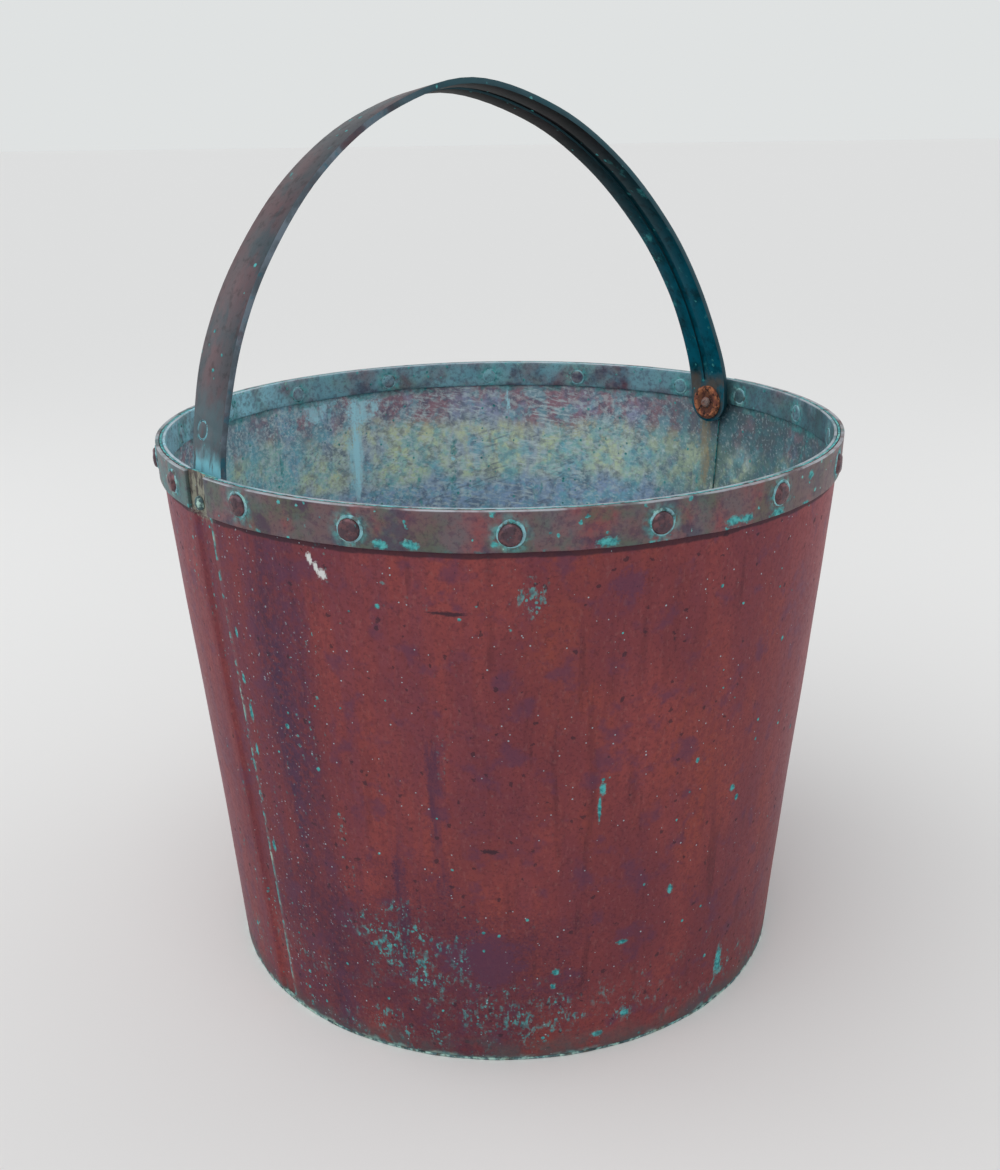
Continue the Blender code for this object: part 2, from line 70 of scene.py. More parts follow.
def tint(red: float, green: float, blue: float) -> tuple[float, float, float, float]:
    """Turn a colour as seen on a screen, 0 to 255, into a linear one.

    Args:
        red: Red from 0 to 255.
        green: Green from 0 to 255.
        blue: Blue from 0 to 255.

    Returns:
        The linear colour with an alpha of 1.
    """
    parts = []
    for part in (red, green, blue):
        share = part / 255.0
        parts.append(share / 12.92 if share <= 0.04045 else ((share + 0.055) / 1.055) ** 2.4)
    return (parts[0], parts[1], parts[2], 1.0)


def ease(value: float, low: float, high: float) -> float:
    """Rise smoothly from 0 at low to 1 at high."""
    share = min(max((value - low) / (high - low), 0.0), 1.0)
    return share * share * (3.0 - 2.0 * share)


def spread(first: float, last: float, count: int) -> list[float]:
    """Give evenly spaced values from first to last."""
    return [first + (last - first) * i / (count - 1) for i in range(count)]


def on_circle(azimuth: float, radius: float, height: float) -> Vector:
    """Give the point at an azimuth in degrees, a radius and a height."""
    angle = math.radians(azimuth)
    return Vector((radius * math.sin(angle), -radius * math.cos(angle), height))


def azimuth_of(place: Vector) -> float:
    """Give a point's azimuth round the bucket's axis, in degrees."""
    return math.degrees(math.atan2(place.x, -place.y))


@dataclass(frozen=True)
class WallLine:
    """The outer line of the bucket's wall, which sheets, hoops and rivets follow."""

    height: float = 0.3493
    top_radius: float = 0.2125
    base_radius: float = 0.1861
    foot: float = 0.0019
    hoop_zone: float = 0.3263
    swell: float = 0.0017
    sheet: float = 0.0015
    gap: float = 0.0003

    def bowed(self, height: float) -> float:
        """Give the cone's radius with its slight swell."""
        share = height / self.height
        cone = self.base_radius + (self.top_radius - self.base_radius) * share
        return cone + self.swell * math.sin(math.pi * share ** 3)

    def radius(self, height: float) -> float:
        """Give the wall's outer radius: bowed, and straight under the hoops."""
        if height < self.hoop_zone:
            return self.bowed(height)
        low = self.bowed(self.hoop_zone)
        share = (height - self.hoop_zone) / (self.height - self.hoop_zone)
        return low + (self.top_radius - low) * share

    def rim_slope(self) -> float:
        """Give how much the radius grows per height under the hoops."""
        low = self.bowed(self.hoop_zone)
        return (self.top_radius - low) / (self.height - self.hoop_zone)


@dataclass(frozen=True)
class Seams:
    """Azimuths of the two upright laps, in degrees."""

    left_edge: float = -47.5
    left_lean: float = 2.5
    left_channel_top: float = 5.3
    left_channel_foot: float = 4.6
    left_lap: float = 2.4
    right_edge: float = 133.6
    right_channel: float = 1.4
    right_lap: float = 3.9
    joggle: float = 0.8
    step: float = 0.0018

    def left(self, share: float) -> float:
        """Give the left cut edge's azimuth at a share of the height."""
        return self.left_edge + self.left_lean * (1.0 - share)

    def channel(self, share: float) -> float:
        """Give the width of the step beside the left seam at a share of the height."""
        return self.left_channel_foot + (self.left_channel_top - self.left_channel_foot) * share


@dataclass(frozen=True)
class Hinge:
    """The line that the bail turns on, from the left pivot to the right one."""

    middle: tuple = (-0.001913, 0.002256, 0.3315)
    axis: tuple = (0.76267, 0.64679, 0.0)


WALL = WallLine()
SEAMS = Seams()
HINGE = Hinge()


def clear_selection() -> None:
    """Leave edit mode and deselect every object."""
    if bpy.context.object is not None and bpy.context.object.mode != "OBJECT":
        bpy.ops.object.mode_set(mode="OBJECT")
    bpy.ops.object.select_all(action="DESELECT")


def take(item: bpy.types.Object) -> None:
    """Select one object alone and make it active."""
    clear_selection()
    item.select_set(True)
    bpy.context.view_layer.objects.active = item


def open_all(item: bpy.types.Object) -> None:
    """Open an object in edit mode with all of it selected."""
    take(item)
    bpy.ops.object.mode_set(mode="EDIT")
    bpy.ops.mesh.select_mode(type=Part.VERTS.value)
    bpy.ops.mesh.select_all(action="SELECT")


def close(item: bpy.types.Object) -> bpy.types.Object:
    """Leave edit mode and give the object back."""
    bpy.ops.object.mode_set(mode="OBJECT")
    return item


def open_where(item: bpy.types.Object, part: Part, test: Callable[[Any], bool]) -> None:
    """Open an object in edit mode with only some of its parts selected.

    Args:
        item: The object.
        part: Whether edges or faces are tested.
        test: Says for one edge or polygon whether it is selected.
    """
    take(item)
    bpy.ops.object.mode_set(mode="EDIT")
    bpy.ops.mesh.select_mode(type=part.value)
    bpy.ops.mesh.select_all(action="DESELECT")
    bpy.ops.object.mode_set(mode="OBJECT")
    for each in item.data.edges if part is Part.EDGES else item.data.polygons:
        each.select = test(each)
    bpy.ops.object.mode_set(mode="EDIT")


def name_new(name: str) -> bpy.types.Object:
    """Name the primitive that was just added, and its mesh."""
    item = bpy.context.object
    item.name = name
    item.data.name = name
    return item


def shape_with(item: bpy.types.Object, kind: str, **settings: Any) -> None:
    """Add a modifier with its settings and apply it.

    Args:
        item: The object.
        kind: The modifier's type.
        **settings: The modifier's values.
    """
    take(item)
    modifier = item.modifiers.new(kind.lower(), kind)
    for key, value in settings.items():
        setattr(modifier, key, value)
    bpy.ops.object.modifier_apply(modifier=modifier.name)


def bevel(item: bpy.types.Object, width: float, degrees: float, **more: Any) -> None:
    """Round the edges that are sharper than an angle."""
    limit = {"limit_method": "ANGLE", "angle_limit": math.radians(degrees)}
    shape_with(item, "BEVEL", width=width, segments=2, **limit, **more)


def smooth(item: bpy.types.Object, degrees: float = 35.0) -> None:
    """Shade an object smooth, but for edges sharper than an angle."""
    take(item)
    bpy.ops.object.shade_smooth_by_angle(angle=math.radians(degrees))


def settle(item: bpy.types.Object, matrix: Matrix) -> None:
    """Put an object at its place and take the place into its mesh."""
    item.matrix_world = matrix
    take(item)
    bpy.ops.object.transform_apply(location=True, rotation=True, scale=True)


def profile(name: str, points: Sequence[Vector], closed: bool) -> bpy.types.Object:
    """Lay out a profile of points joined by edges.

    Args:
        name: The new object's name.
        points: The profile's points in order.
        closed: Whether the last point is joined to the first.

    Returns:
        The new object.
    """
    clear_selection()
    bpy.ops.mesh.primitive_circle_add(vertices=len(points), radius=WALL.top_radius, fill_type="NOTHING")
    item = name_new(name)
    for vertex, point in zip(item.data.vertices, points):
        vertex.co = point
    if not closed:
        ends = {0, len(points) - 1}
        open_where(item, Part.EDGES, lambda edge: set(edge.vertices) == ends)
        bpy.ops.mesh.delete(type="EDGE_FACE")
        close(item)
    return item


def spin(item: bpy.types.Object, steps: int, degrees: float) -> None:
    """Sweep a profile round the bucket's axis towards larger azimuths, which is the operator's minus."""
    open_all(item)
    bpy.ops.mesh.spin(steps=steps, angle=-math.radians(degrees), center=(0.0, 0.0, 0.0), axis=(0.0, 0.0, 1.0))
    close(item)


def weather(item: bpy.types.Object, depth: float, size: float) -> None:
    """Push a surface in and out along its normals by a cloud pattern.

    Args:
        item: The object, with its place in its mesh.
        depth: Height from the deepest to the highest place.
        size: Size of the pattern's clouds.
    """
    texture = bpy.data.textures.new(item.name + "_clouds", "CLOUDS")
    texture.noise_scale = size
    texture.noise_depth = 2
    shape_with(item, "DISPLACE", texture=texture, texture_coords="LOCAL", strength=depth, mid_level=0.5)
    bpy.data.textures.remove(texture)


def copy_of_node(name: str, node: str) -> bpy.types.Object:
    """Copy a solid's mesh and weld its loose triangles into faces.

    Args:
        name: The new piece's name.
        node: The solid's name.

    Returns:
        The new object.
    """
    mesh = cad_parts[node].data.copy()
    mesh.materials.clear()
    item = bpy.data.objects.new(name, mesh)
    mesh.name = name
    bpy.context.scene.collection.objects.link(item)
    open_all(item)
    bpy.ops.mesh.customdata_custom_splitnormals_clear()
    bpy.ops.mesh.remove_doubles(threshold=WELD)
    bpy.ops.mesh.select_all(action="SELECT")
    bpy.ops.mesh.tris_convert_to_quads(face_threshold=0.02, shape_threshold=0.7)
    return close(item)


def place(item: bpy.types.Object, nodes: Sequence[str], slot: str, body: Body = Body.BUCKET) -> None:
    """Let a finished piece stand for its solids, and report it.

    Args:
        item: The finished piece.
        nodes: The solids that it stands for.
        slot: A finish's name; not used.
        body: The body that it moves with.
    """
    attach(item, body.value)
    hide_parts(*nodes)
    LOG.info("%s: %d faces", item.name, len(item.data.polygons))


class Signal:
    """A value on a node tree: + - * / make sums of it, and | takes the larger of two."""

    def __init__(self, board: "Board", socket: bpy.types.NodeSocket) -> None:
        """Keep the board and the socket that gives the value."""
        self.board = board
        self.socket = socket

    def work(self, operation: str, other: Any) -> "Signal":
        """Work out one sum of this value and another."""
        return self.board.math(operation, self, other)

    __add__ = partialmethod(work, "ADD")
    __sub__ = partialmethod(work, "SUBTRACT")
    __mul__ = partialmethod(work, "MULTIPLY")
    __truediv__ = partialmethod(work, "DIVIDE")
    __or__ = partialmethod(work, "MAXIMUM")


class Board:
    """Lays shader nodes on a node tree and joins their sockets."""

    def __init__(self, tree: bpy.types.NodeTree) -> None:
        """Keep the tree that the nodes go on."""
        self.tree = tree

    def node(self, kind: str, inputs: dict[Any, Any] | None = None, **settings: Any) -> bpy.types.Node:
        """Add a node.

        Args:
            kind: The node's type.
            inputs: Sockets by name or number, each with a value or what feeds it.
            **settings: The node's other values.

        Returns:
            The new node.
        """
        made = self.tree.nodes.new(kind)
        made.location = (40.0 * len(self.tree.nodes), 0.0)
        for key, value in settings.items():
            setattr(made, key, value)
        for key, value in (inputs or {}).items():
            self.join(made.inputs[key], value)
        return made

    def out(self, kind: str, inputs: dict[Any, Any] | None = None, port: Any = 0, **settings: Any) -> Signal:
        """Add a node and give one of its outputs."""
        return Signal(self, self.node(kind, inputs, **settings).outputs[port])

    def join(self, socket: bpy.types.NodeSocket, source: Any) -> None:
        """Feed a socket from a signal, or with a value."""
        if isinstance(source, Signal):
            self.tree.links.new(source.socket, socket)
        else:
            socket.default_value = source

    def math(self, operation: str, first: Any, second: Any = 0.0) -> Signal:
        """Work out one sum of two values."""
        return self.out("ShaderNodeMath", {0: first, 1: second}, operation=operation)

    def vector(self, operation: str, first: Any, second: Any = (0.0, 0.0, 0.0)) -> Signal:
        """Work out one sum of two vectors."""
        port = "Value" if operation in ("LENGTH", "DOT_PRODUCT") else "Vector"
        return self.out("ShaderNodeVectorMath", {0: first, 1: second}, port, operation=operation)

    def ramp(self, value: Any, low: Any, high: Any) -> Signal:
        """Turn a value smoothly into 0 at low and 1 at high."""
        limits = {"Value": value, "From Min": low, "From Max": high}
        return self.out("ShaderNodeMapRange", limits, "Result", interpolation_type="SMOOTHSTEP")

    def mix(self, share: Any, first: Any, second: Any) -> Signal:
        """Mix two colours."""
        return self.out("ShaderNodeMix", {0: share, 6: first, 7: second}, 2, data_type="RGBA")

    def mix_value(self, share: Any, first: Any, second: Any) -> Signal:
        """Mix two values."""
        return self.out("ShaderNodeMix", {0: share, 2: first, 3: second}, data_type="FLOAT")

    def noise(self, where: Any, scale: Any, detail: Any = 4.0, rough: float = 0.55) -> Signal:
        """Give a cloudy value from 0 to 1."""
        inputs = {"Vector": where, "Scale": scale, "Detail": detail, "Roughness": rough}
        return self.out("ShaderNodeTexNoise", inputs, "Fac", noise_dimensions="3D")

    def along(self, where: Signal, axis: int) -> Signal:
        """Give a place's distance along X, Y or Z, as 0, 1 or 2."""
        return self.out("ShaderNodeSeparateXYZ", {0: where}, axis)

    def effect(self, effect: "Effect", **inputs: Any) -> Signal:
        """Use one of the shared effects with its own values."""
        return self.out("ShaderNodeGroup", inputs, node_tree=bpy.data.node_groups[effect.value])


class Effect(Enum):
    """The effects that several finishes share."""

    PATCHES = "patches"
    SPECKS = "specks"
    SPOT = "spot"
    TIDE = "tide"
    CRUST = "crust_colour"
    GRAIN = "metal_grain"


class Effects:
    """Builds the shared effects as node groups, each once."""

    def build(self) -> None:
        """Build them all."""
        for make in (self.patches, self.specks, self.spot, self.tide, self.crust, self.grain):
            make()

    def start(self, effect: Effect, *vectors: str, **values: float) -> tuple[Board, dict[str, Signal]]:
        """Open a new group.

        Args:
            effect: Which effect it is.
            *vectors: The names of its vector inputs.
            **values: Its number inputs with their defaults.

        Returns:
            The board and the group's inputs.
        """
        tree = bpy.data.node_groups.new(effect.value, "ShaderNodeTree")
        for name in vectors:
            tree.interface.new_socket(name, in_out="INPUT", socket_type="NodeSocketVector")
        for name, default in values.items():
            socket = tree.interface.new_socket(name, in_out="INPUT", socket_type="NodeSocketFloat")
            socket.default_value = default
        board = Board(tree)
        entry = board.node("NodeGroupInput").outputs
        return board, {name: Signal(board, entry[name]) for name in (*vectors, *values)}

    def end(self, board: Board, result: Signal, kind: str = "NodeSocketFloat") -> None:
        """Close a group with what it gives."""
        board.tree.interface.new_socket("Result", in_out="OUTPUT", socket_type=kind)
        board.node("NodeGroupOutput", {0: result})

    def pulled(self, board: Board, entry: dict[str, Signal]) -> Signal:
        """Give the place, drawn out along Z and shifted."""
        pull = board.out("ShaderNodeCombineXYZ", {0: 1.0, 1: 1.0, 2: entry["Stretch"]})
        return board.vector("ADD", board.vector("MULTIPLY", entry["Vector"], pull), entry["Shift"])

    def patches(self) -> None:
        """Cloudy patches, drawn out along Z where Stretch is small."""
        board, entry = self.start(
            Effect.PATCHES, "Vector", Scale=10.0, Stretch=1.0, Level=0.5, Soft=0.1, Shift=0.0, Detail=5.0,
        )
        cloud = board.noise(self.pulled(board, entry), entry["Scale"], entry["Detail"], 0.6)
        level, soft = entry["Level"], entry["Soft"]
        self.end(board, board.ramp(cloud, level - soft, level + soft))

    def specks(self) -> None:
        """Small ragged spots, one in some of the cells."""
        board, entry = self.start(
            Effect.SPECKS, "Vector", Cells=200.0, Size=0.3, Share=0.3, Shift=0.0, Ragged=0.3, Stretch=1.0,
        )
        where = self.pulled(board, entry)
        cells = board.node("ShaderNodeTexVoronoi", {"Vector": where, "Scale": entry["Cells"]}).outputs
        fine = board.noise(where, entry["Cells"] * 2.5, 3.0, 0.6)
        distance = Signal(board, cells["Distance"]) + (fine - 0.5) * entry["Ragged"]
        tone = board.node("ShaderNodeSeparateColor", {0: Signal(board, cells["Color"])}).outputs
        size = entry["Size"] * (Signal(board, tone[1]) + 0.35)
        chosen = board.math("LESS_THAN", Signal(board, tone[0]), entry["Share"])
        self.end(board, board.ramp(distance, size, size * 0.55) * chosen)

    def spot(self) -> None:
        """One ragged spot at a place, with its own width and height, its edge frayed by a fine noise."""
        board, entry = self.start(
            Effect.SPOT, "Vector", "Place", Fray=0.5, Width=0.004, Height=0.004, Ragged=0.5,
        )
        size = board.out("ShaderNodeCombineXYZ", {0: entry["Width"], 1: entry["Width"], 2: entry["Height"]})
        away = board.vector("DIVIDE", board.vector("SUBTRACT", entry["Vector"], entry["Place"]), size)
        ragged = (board.noise(away, 1.3, 4.0, 0.65) - 0.5) * entry["Ragged"] * 3.0
        frayed = (entry["Fray"] - 0.5) * 0.9
        self.end(board, board.ramp(board.vector("LENGTH", away) + ragged + frayed, 1.1, 0.55))

    def tide(self) -> None:
        """A band between two heights with ragged edges."""
        board, entry = self.start(
            Effect.TIDE, "Vector", Low=0.0, High=0.01, Soft=0.003, Ragged=0.004, Scale=60.0,
        )
        cloud = board.noise(entry["Vector"], entry["Scale"], 5.0, 0.6) - 0.5
        height = board.along(entry["Vector"], 2) + cloud * (entry["Ragged"] * 4.0)
        rise = (height - entry["Low"]) / entry["Soft"]
        fall = (entry["High"] - height) / entry["Soft"]
        self.end(board, board.ramp(board.math("MINIMUM", rise, fall), -0.5, 0.5))

    def crust(self) -> None:
        """The colour of verdigris, from deep turquoise to chalky green."""
        board, entry = self.start(Effect.CRUST, "Vector", Chalk=0.3)
        cloud = board.noise(entry["Vector"], 300.0, 4.0, 0.6)
        colour = board.mix(board.ramp(cloud, 0.35, 0.6), tint(38, 112, 118), tint(82, 176, 176))
        pale = board.noise(entry["Vector"], 90.0, 5.0, 0.6) + (entry["Chalk"] - 0.5)
        chalky = board.mix(board.ramp(pale, 0.35, 0.65), colour, tint(172, 205, 190))
        self.end(board, chalky, "NodeSocketColor")

    def grain(self) -> None:
        """The fine relief of old rolled sheet: pits, tiny bumps and rubbing marks."""
        board, entry = self.start(Effect.GRAIN, "Vector")
        fine = board.noise(entry["Vector"], 900.0, 3.0, 0.6)
        wide = board.noise(entry["Vector"], 130.0, 4.0, 0.5)
        self.end(board, fine * 0.35 + wide)


class Coat:
    """A surface whose layers of patina are laid on one by one."""

    def __init__(self, name: str, colour: Any, metal: float, rough: float) -> None:
        """Start a material with its bare metal.

        Args:
            name: The material's name.
            colour: The metal's colour.
            metal: How metallic it is.
            rough: Its roughness.
        """
        self.material = bpy.data.materials.new(name)
        self.material.use_nodes = True
        self.board = Board(self.material.node_tree)
        self.shader = self.material.node_tree.nodes["Principled BSDF"]
        self.where = self.board.out("ShaderNodeTexCoord", port="Object")
        self.fray = self.board.noise(self.where, 700.0, 2.0)
        self.colour: Any = colour
        self.metal: Any = metal
        self.rough: Any = rough
        self.height: Any = 0.0

    def mask(self, effect: Effect, **inputs: Any) -> Signal:
        """Use a shared effect at each place of the surface."""
        return self.board.effect(effect, Vector=self.where, **inputs)

    def patches(
        self, scale: float, level: float, soft: float,
        shift: float = 0.0, stretch: float = 1.0, detail: float = 5.0,
    ) -> Signal:
        """Give a mask of cloudy patches."""
        cloud = {"Shift": shift, "Stretch": stretch, "Detail": detail}
        return self.mask(Effect.PATCHES, Scale=scale, Level=level, Soft=soft, **cloud)

    def scratches(self, slant: float, level: float, shift: float) -> Signal:
        """Give a mask of fine rubbing marks that slant by an angle in degrees."""
        turn = {"Vector": self.where, "Rotation": (0.0, math.radians(slant), 0.0)}
        turned = self.board.out("ShaderNodeMapping", turn)
        return self.board.effect(
            Effect.PATCHES, Vector=turned, Scale=480.0, Stretch=0.06, Level=level, Soft=0.07,
            Shift=shift, Detail=3.0,
        )

    def specks(
        self, cells: float, size: float, share: float, shift: float = 0.0, ragged: float = 0.3,
    ) -> Signal:
        """Give a mask of small spots."""
        return self.mask(Effect.SPECKS, Cells=cells, Size=size, Share=share, Shift=shift, Ragged=ragged)

    def tide(self, low: float, high: float, soft: float, ragged: float, scale: float = 60.0) -> Signal:
        """Give a mask between two heights."""
        return self.mask(Effect.TIDE, Low=low, High=high, Soft=soft, Ragged=ragged, Scale=scale)

    def spot(
        self, azimuth: float, height: float, wide: float, tall: float, ragged: float = 0.5, out: float = 0.0,
    ) -> Signal:
        """Give a mask of one spot on the bucket's wall, or some way out from it."""
        centre = on_circle(azimuth, WALL.radius(height) + out, height)
        return self.mask(Effect.SPOT, Place=centre, Fray=self.fray, Width=wide, Height=tall, Ragged=ragged)

    def beside(self, low: float, high: float) -> Signal:
        """Give a mask that rises along X from one place to another."""
        return self.board.ramp(self.board.along(self.where, 0), low, high)

    def lay(self, mask: Signal, colour: Any, metal: Any = None, rough: Any = None, rise: float = 0.0) -> None:
        """Lay one layer over what is there.

        Args:
            mask: Where the layer lies, 0 to 1.
            colour: Its colour.
            metal: How metallic it is, or None to leave that.
            rough: Its roughness, or None to leave that.
            rise: How far it stands up, against the others.
        """
        self.colour = self.board.mix(mask, self.colour, colour)
        if metal is not None:
            self.metal = self.board.mix_value(mask, self.metal, metal)
        if rough is not None:
            self.rough = self.board.mix_value(mask, self.rough, rough)
        if rise:
            self.height = self.board.math("ADD", self.height, mask * rise)

    def crust(self, mask: Signal, chalk: float, rise: float = 0.0) -> None:
        """Lay verdigris over what is there."""
        self.lay(mask, self.mask(Effect.CRUST, Chalk=chalk), 0.0, 0.85, rise)

    def dull(self, level: float, edge: Any = (1.0, 1.0, 1.0, 1.0)) -> None:
        """Weaken and tint the sheen that the pale room leaves on the surface."""
        self.board.join(self.shader.inputs["Specular IOR Level"], level)
        self.board.join(self.shader.inputs["Specular Tint"], edge)

    def finish(self, relief: float, strength: float, grain: float) -> bpy.types.Material:
        """Feed the shader and give the material.

        Args:
            relief: Depth of a full rise in metres.
            strength: Strength of the relief.
            grain: Share of the fine grain in the relief.

        Returns:
            The finished material.
        """
        height = self.board.math("ADD", self.height, self.mask(Effect.GRAIN) * grain)
        bump = self.board.out("ShaderNodeBump", {"Height": height, "Distance": relief, "Strength": strength})
        for name, source in (
            ("Base Color", self.colour), ("Metallic", self.metal), ("Roughness", self.rough), ("Normal", bump),
        ):
            self.board.join(self.shader.inputs[name], source)
        return self.material


@dataclass(frozen=True)
class OutsideCopper:
    """The outside of the wall: maroon copper with dark streaks and turquoise specks.

    Each spot is its azimuth in degrees, then its height, its half width and its half height in metres.
    """

    maroon: tuple = tint(148, 76, 74)
    deep: tuple = tint(126, 66, 70)
    brown: tuple = tint(152, 78, 66)
    purple: tuple = tint(98, 64, 86)
    blue: tuple = tint(72, 56, 80)
    shade: tuple = tint(84, 54, 72)
    dark: tuple = tint(52, 40, 50)
    dust: tuple = tint(168, 120, 116)
    # darker grey-blue for the bottom of the wall
    gap_dirt: tuple = tint(150, 152, 136)
    darker_foot: tuple = tint(78, 90, 92)
    frost: tuple = tint(168, 190, 198)
    sheen: tuple = tint(234, 208, 216)
    chalk: tuple = tint(214, 216, 214)
    # painted shade of two dents: azimuth, height, half width, half height
    dent_shades: tuple = ((-1.0, 0.149, 0.0060, 0.0020), (-6.2, 0.2935, 0.0120, 0.0014))
    spots: tuple = (
        (16.9, 0.185, 0.0020, 0.0055), (16.5, 0.172, 0.0012, 0.0120), (43.4, 0.160, 0.0024, 0.0026),
        (33.9, 0.190, 0.0016, 0.0020), (30.7, 0.107, 0.0024, 0.0036), (21.9, 0.078, 0.0036, 0.0020),
        (23.3, 0.024, 0.0034, 0.0030), (10.0, 0.063, 0.0026, 0.0030), (9.5, 0.053, 0.0020, 0.0026),
        (18.1, 0.013, 0.0040, 0.0024), (46.0, 0.030, 0.0040, 0.0130), (-44.4, 0.260, 0.0014, 0.0034),
        (-44.6, 0.231, 0.0016, 0.0036), (-44.0, 0.210, 0.0018, 0.0070), (-44.2, 0.185, 0.0014, 0.0046),
        (-43.9, 0.119, 0.0018, 0.0050),
    )

    def seam_distance(self, coat: Coat) -> Signal:
        """Give how far right of the left seam's cut edge a place is, in metres."""
        board = coat.board
        behind = board.along(coat.where, 1) * -1.0
        turned = board.math("ARCTAN2", board.along(coat.where, 0), behind)
        lean = math.radians(SEAMS.left_lean) / WALL.height
        rise = board.along(coat.where, 2) * lean
        edge = board.math("SUBTRACT", math.radians(SEAMS.left(0.0)), rise)
        return (turned - edge) * WALL.base_radius

    def build(self) -> bpy.types.Material:
        """Build the material."""
        coat = Coat("wall_patina_outside", self.maroon, 0.72, 0.42)
        lay, patches, spot, ramp = coat.lay, coat.patches, coat.spot, coat.board.ramp
        lay(patches(11.0, 0.50, 0.10, stretch=0.6), self.deep, rough=0.38)
        seam = self.seam_distance(coat)
        browned = patches(16.0, 0.56, 0.10, stretch=0.45, shift=3.0) * ramp(seam, 0.07, 0.16)
        lay(browned * 0.7, self.brown, rough=0.46)
        beside = ramp(seam, 0.0, 0.012) * ramp(seam, 0.075, 0.030)
        left = ramp(seam, 0.22, 0.02)
        streaks = patches(75.0, 0.52, 0.11, stretch=0.030, shift=1.3)
        lay(streaks * (left * 0.35 + 0.12), self.purple)
        broad = patches(34.0, 0.50, 0.16, stretch=0.10, shift=5.0)
        lay(broad * (beside * 0.85 + 0.05), self.blue)
        lay(spot(-14.0, 0.055, 0.110, 0.075, 0.6) * 0.65, self.shade, rough=0.48)
        drops = patches(110.0, 0.60, 0.06, stretch=0.045, shift=8.0) * patches(7.0, 0.52, 0.1)
        lay(drops * 0.35, self.dark, rough=0.5)
        lay(patches(260.0, 0.54, 0.10) * 0.65, self.deep, rough=0.5)
        lay(patches(620.0, 0.58, 0.08, shift=2.0, detail=3.0) * 0.30, self.dark, rough=0.5)
        lay(patches(520.0, 0.62, 0.06, shift=6.0, detail=3.0, stretch=0.5) * 0.15, self.dust)
        lay(patches(60.0, 0.60, 0.08, shift=4.0) * 0.6, self.purple)
        lay(spot(-3.0, 0.071, 0.030, 0.022, 0.9) * 0.75, self.purple, rough=0.5)
        lay(spot(19.4, 0.305, 0.010, 0.010, 0.9) * 0.6, self.purple)
        streak = spot(-9.0, 0.175, 0.0060, 0.1300, 0.7) | spot(-16.0, 0.110, 0.0050, 0.0700, 0.7)
        lay(streak * patches(90.0, 0.47, 0.10, stretch=0.2, shift=5.0) * 0.6, self.blue)
        # painted shade: two dents in the sheet are painted as dark, dull spots
        for dent in self.dent_shades:
            lay(spot(*dent, 0.7) * 0.85, self.dark, 0.2, 0.7)
        self.lay_verdigris(coat, seam, left)
        self.lay_trim(coat, seam)
        coat.dull(0.35, self.sheen)
        return coat.finish(relief=0.0004, strength=0.45, grain=0.55)

    def lay_verdigris(self, coat: Coat, seam: Signal, left: Signal) -> None:
        """Lay the specks, the films, the drips and the single spots.

        Args:
            coat: The surface.
            seam: Each place's distance right of the left seam; not used.
            left: A mask that fades away from that seam.
        """
        patches, specks, spot = coat.patches, coat.specks, coat.spot
        dots = specks(120.0, 0.13, 0.14, shift=2.0) | specks(50.0, 0.080, 0.16, shift=5.0, ragged=0.2)
        coat.lay(specks(150.0, 0.20, 0.34, shift=9.0, ragged=1.0) * 0.65, self.dark, 0.2, 0.7)
        low = coat.tide(-0.01, 0.045, 0.05, 0.010) * patches(48.0, 0.55, 0.07, shift=2.0, detail=8.0)
        film = low | spot(-15.0, 0.072, 0.040, 0.034, 1.0)
        film = film | spot(4.0, 0.030, 0.042, 0.022, 1.0) * 0.9
        film = film | spot(5.5, 0.301, 0.009, 0.011, 1.0) * 0.8
        ragged = specks(460.0, 0.44, 0.45, shift=3.0, ragged=1.2) * 0.9
        frayed = patches(360.0, 0.56, 0.05, stretch=0.5, shift=1.0, detail=8.0) * 0.8
        film = film * (ragged | frayed) * patches(75.0, 0.47, 0.10, shift=7.0)
        drips = patches(120.0, 0.60, 0.05, stretch=0.06, shift=6.0) * left * patches(20.0, 0.5, 0.1)
        drips = drips * specks(360.0, 0.40, 0.5, shift=4.0, ragged=1.2) * 0.9
        coat.crust(dots | film | drips, 0.18)
        coat.height = dots * 0.8
        spots: Any = 0.0
        for place in self.spots:
            spots = coat.board.math("MAXIMUM", spots, spot(*place, 0.45))
        coat.crust(spots, 0.05)

    def lay_trim(self, coat: Coat, seam: Signal) -> None:
        """Lay the seam's pale line, the dirt in the hoops' gap, the foot, the dust and the white scrape."""
        lay, patches, spot, tide, ramp = coat.lay, coat.patches, coat.spot, coat.tide, coat.board.ramp
        line = ramp(seam, 0.0034, 0.0006) * ramp(seam, -0.0016, -0.0006)
        low = tide(-0.01, 0.115, 0.03, 0.012) * patches(90.0, 0.46, 0.06, stretch=0.4, detail=8.0)
        broken = patches(190.0, 0.52, 0.04, detail=8.0) | low * 0.85
        # painted shadow: a dark band on the wall just under the outer hoops' lower edge
        lay(tide(0.3238, 0.3300, 0.0012, 0.0008) * 0.75, self.dark, 0.2, 0.7)
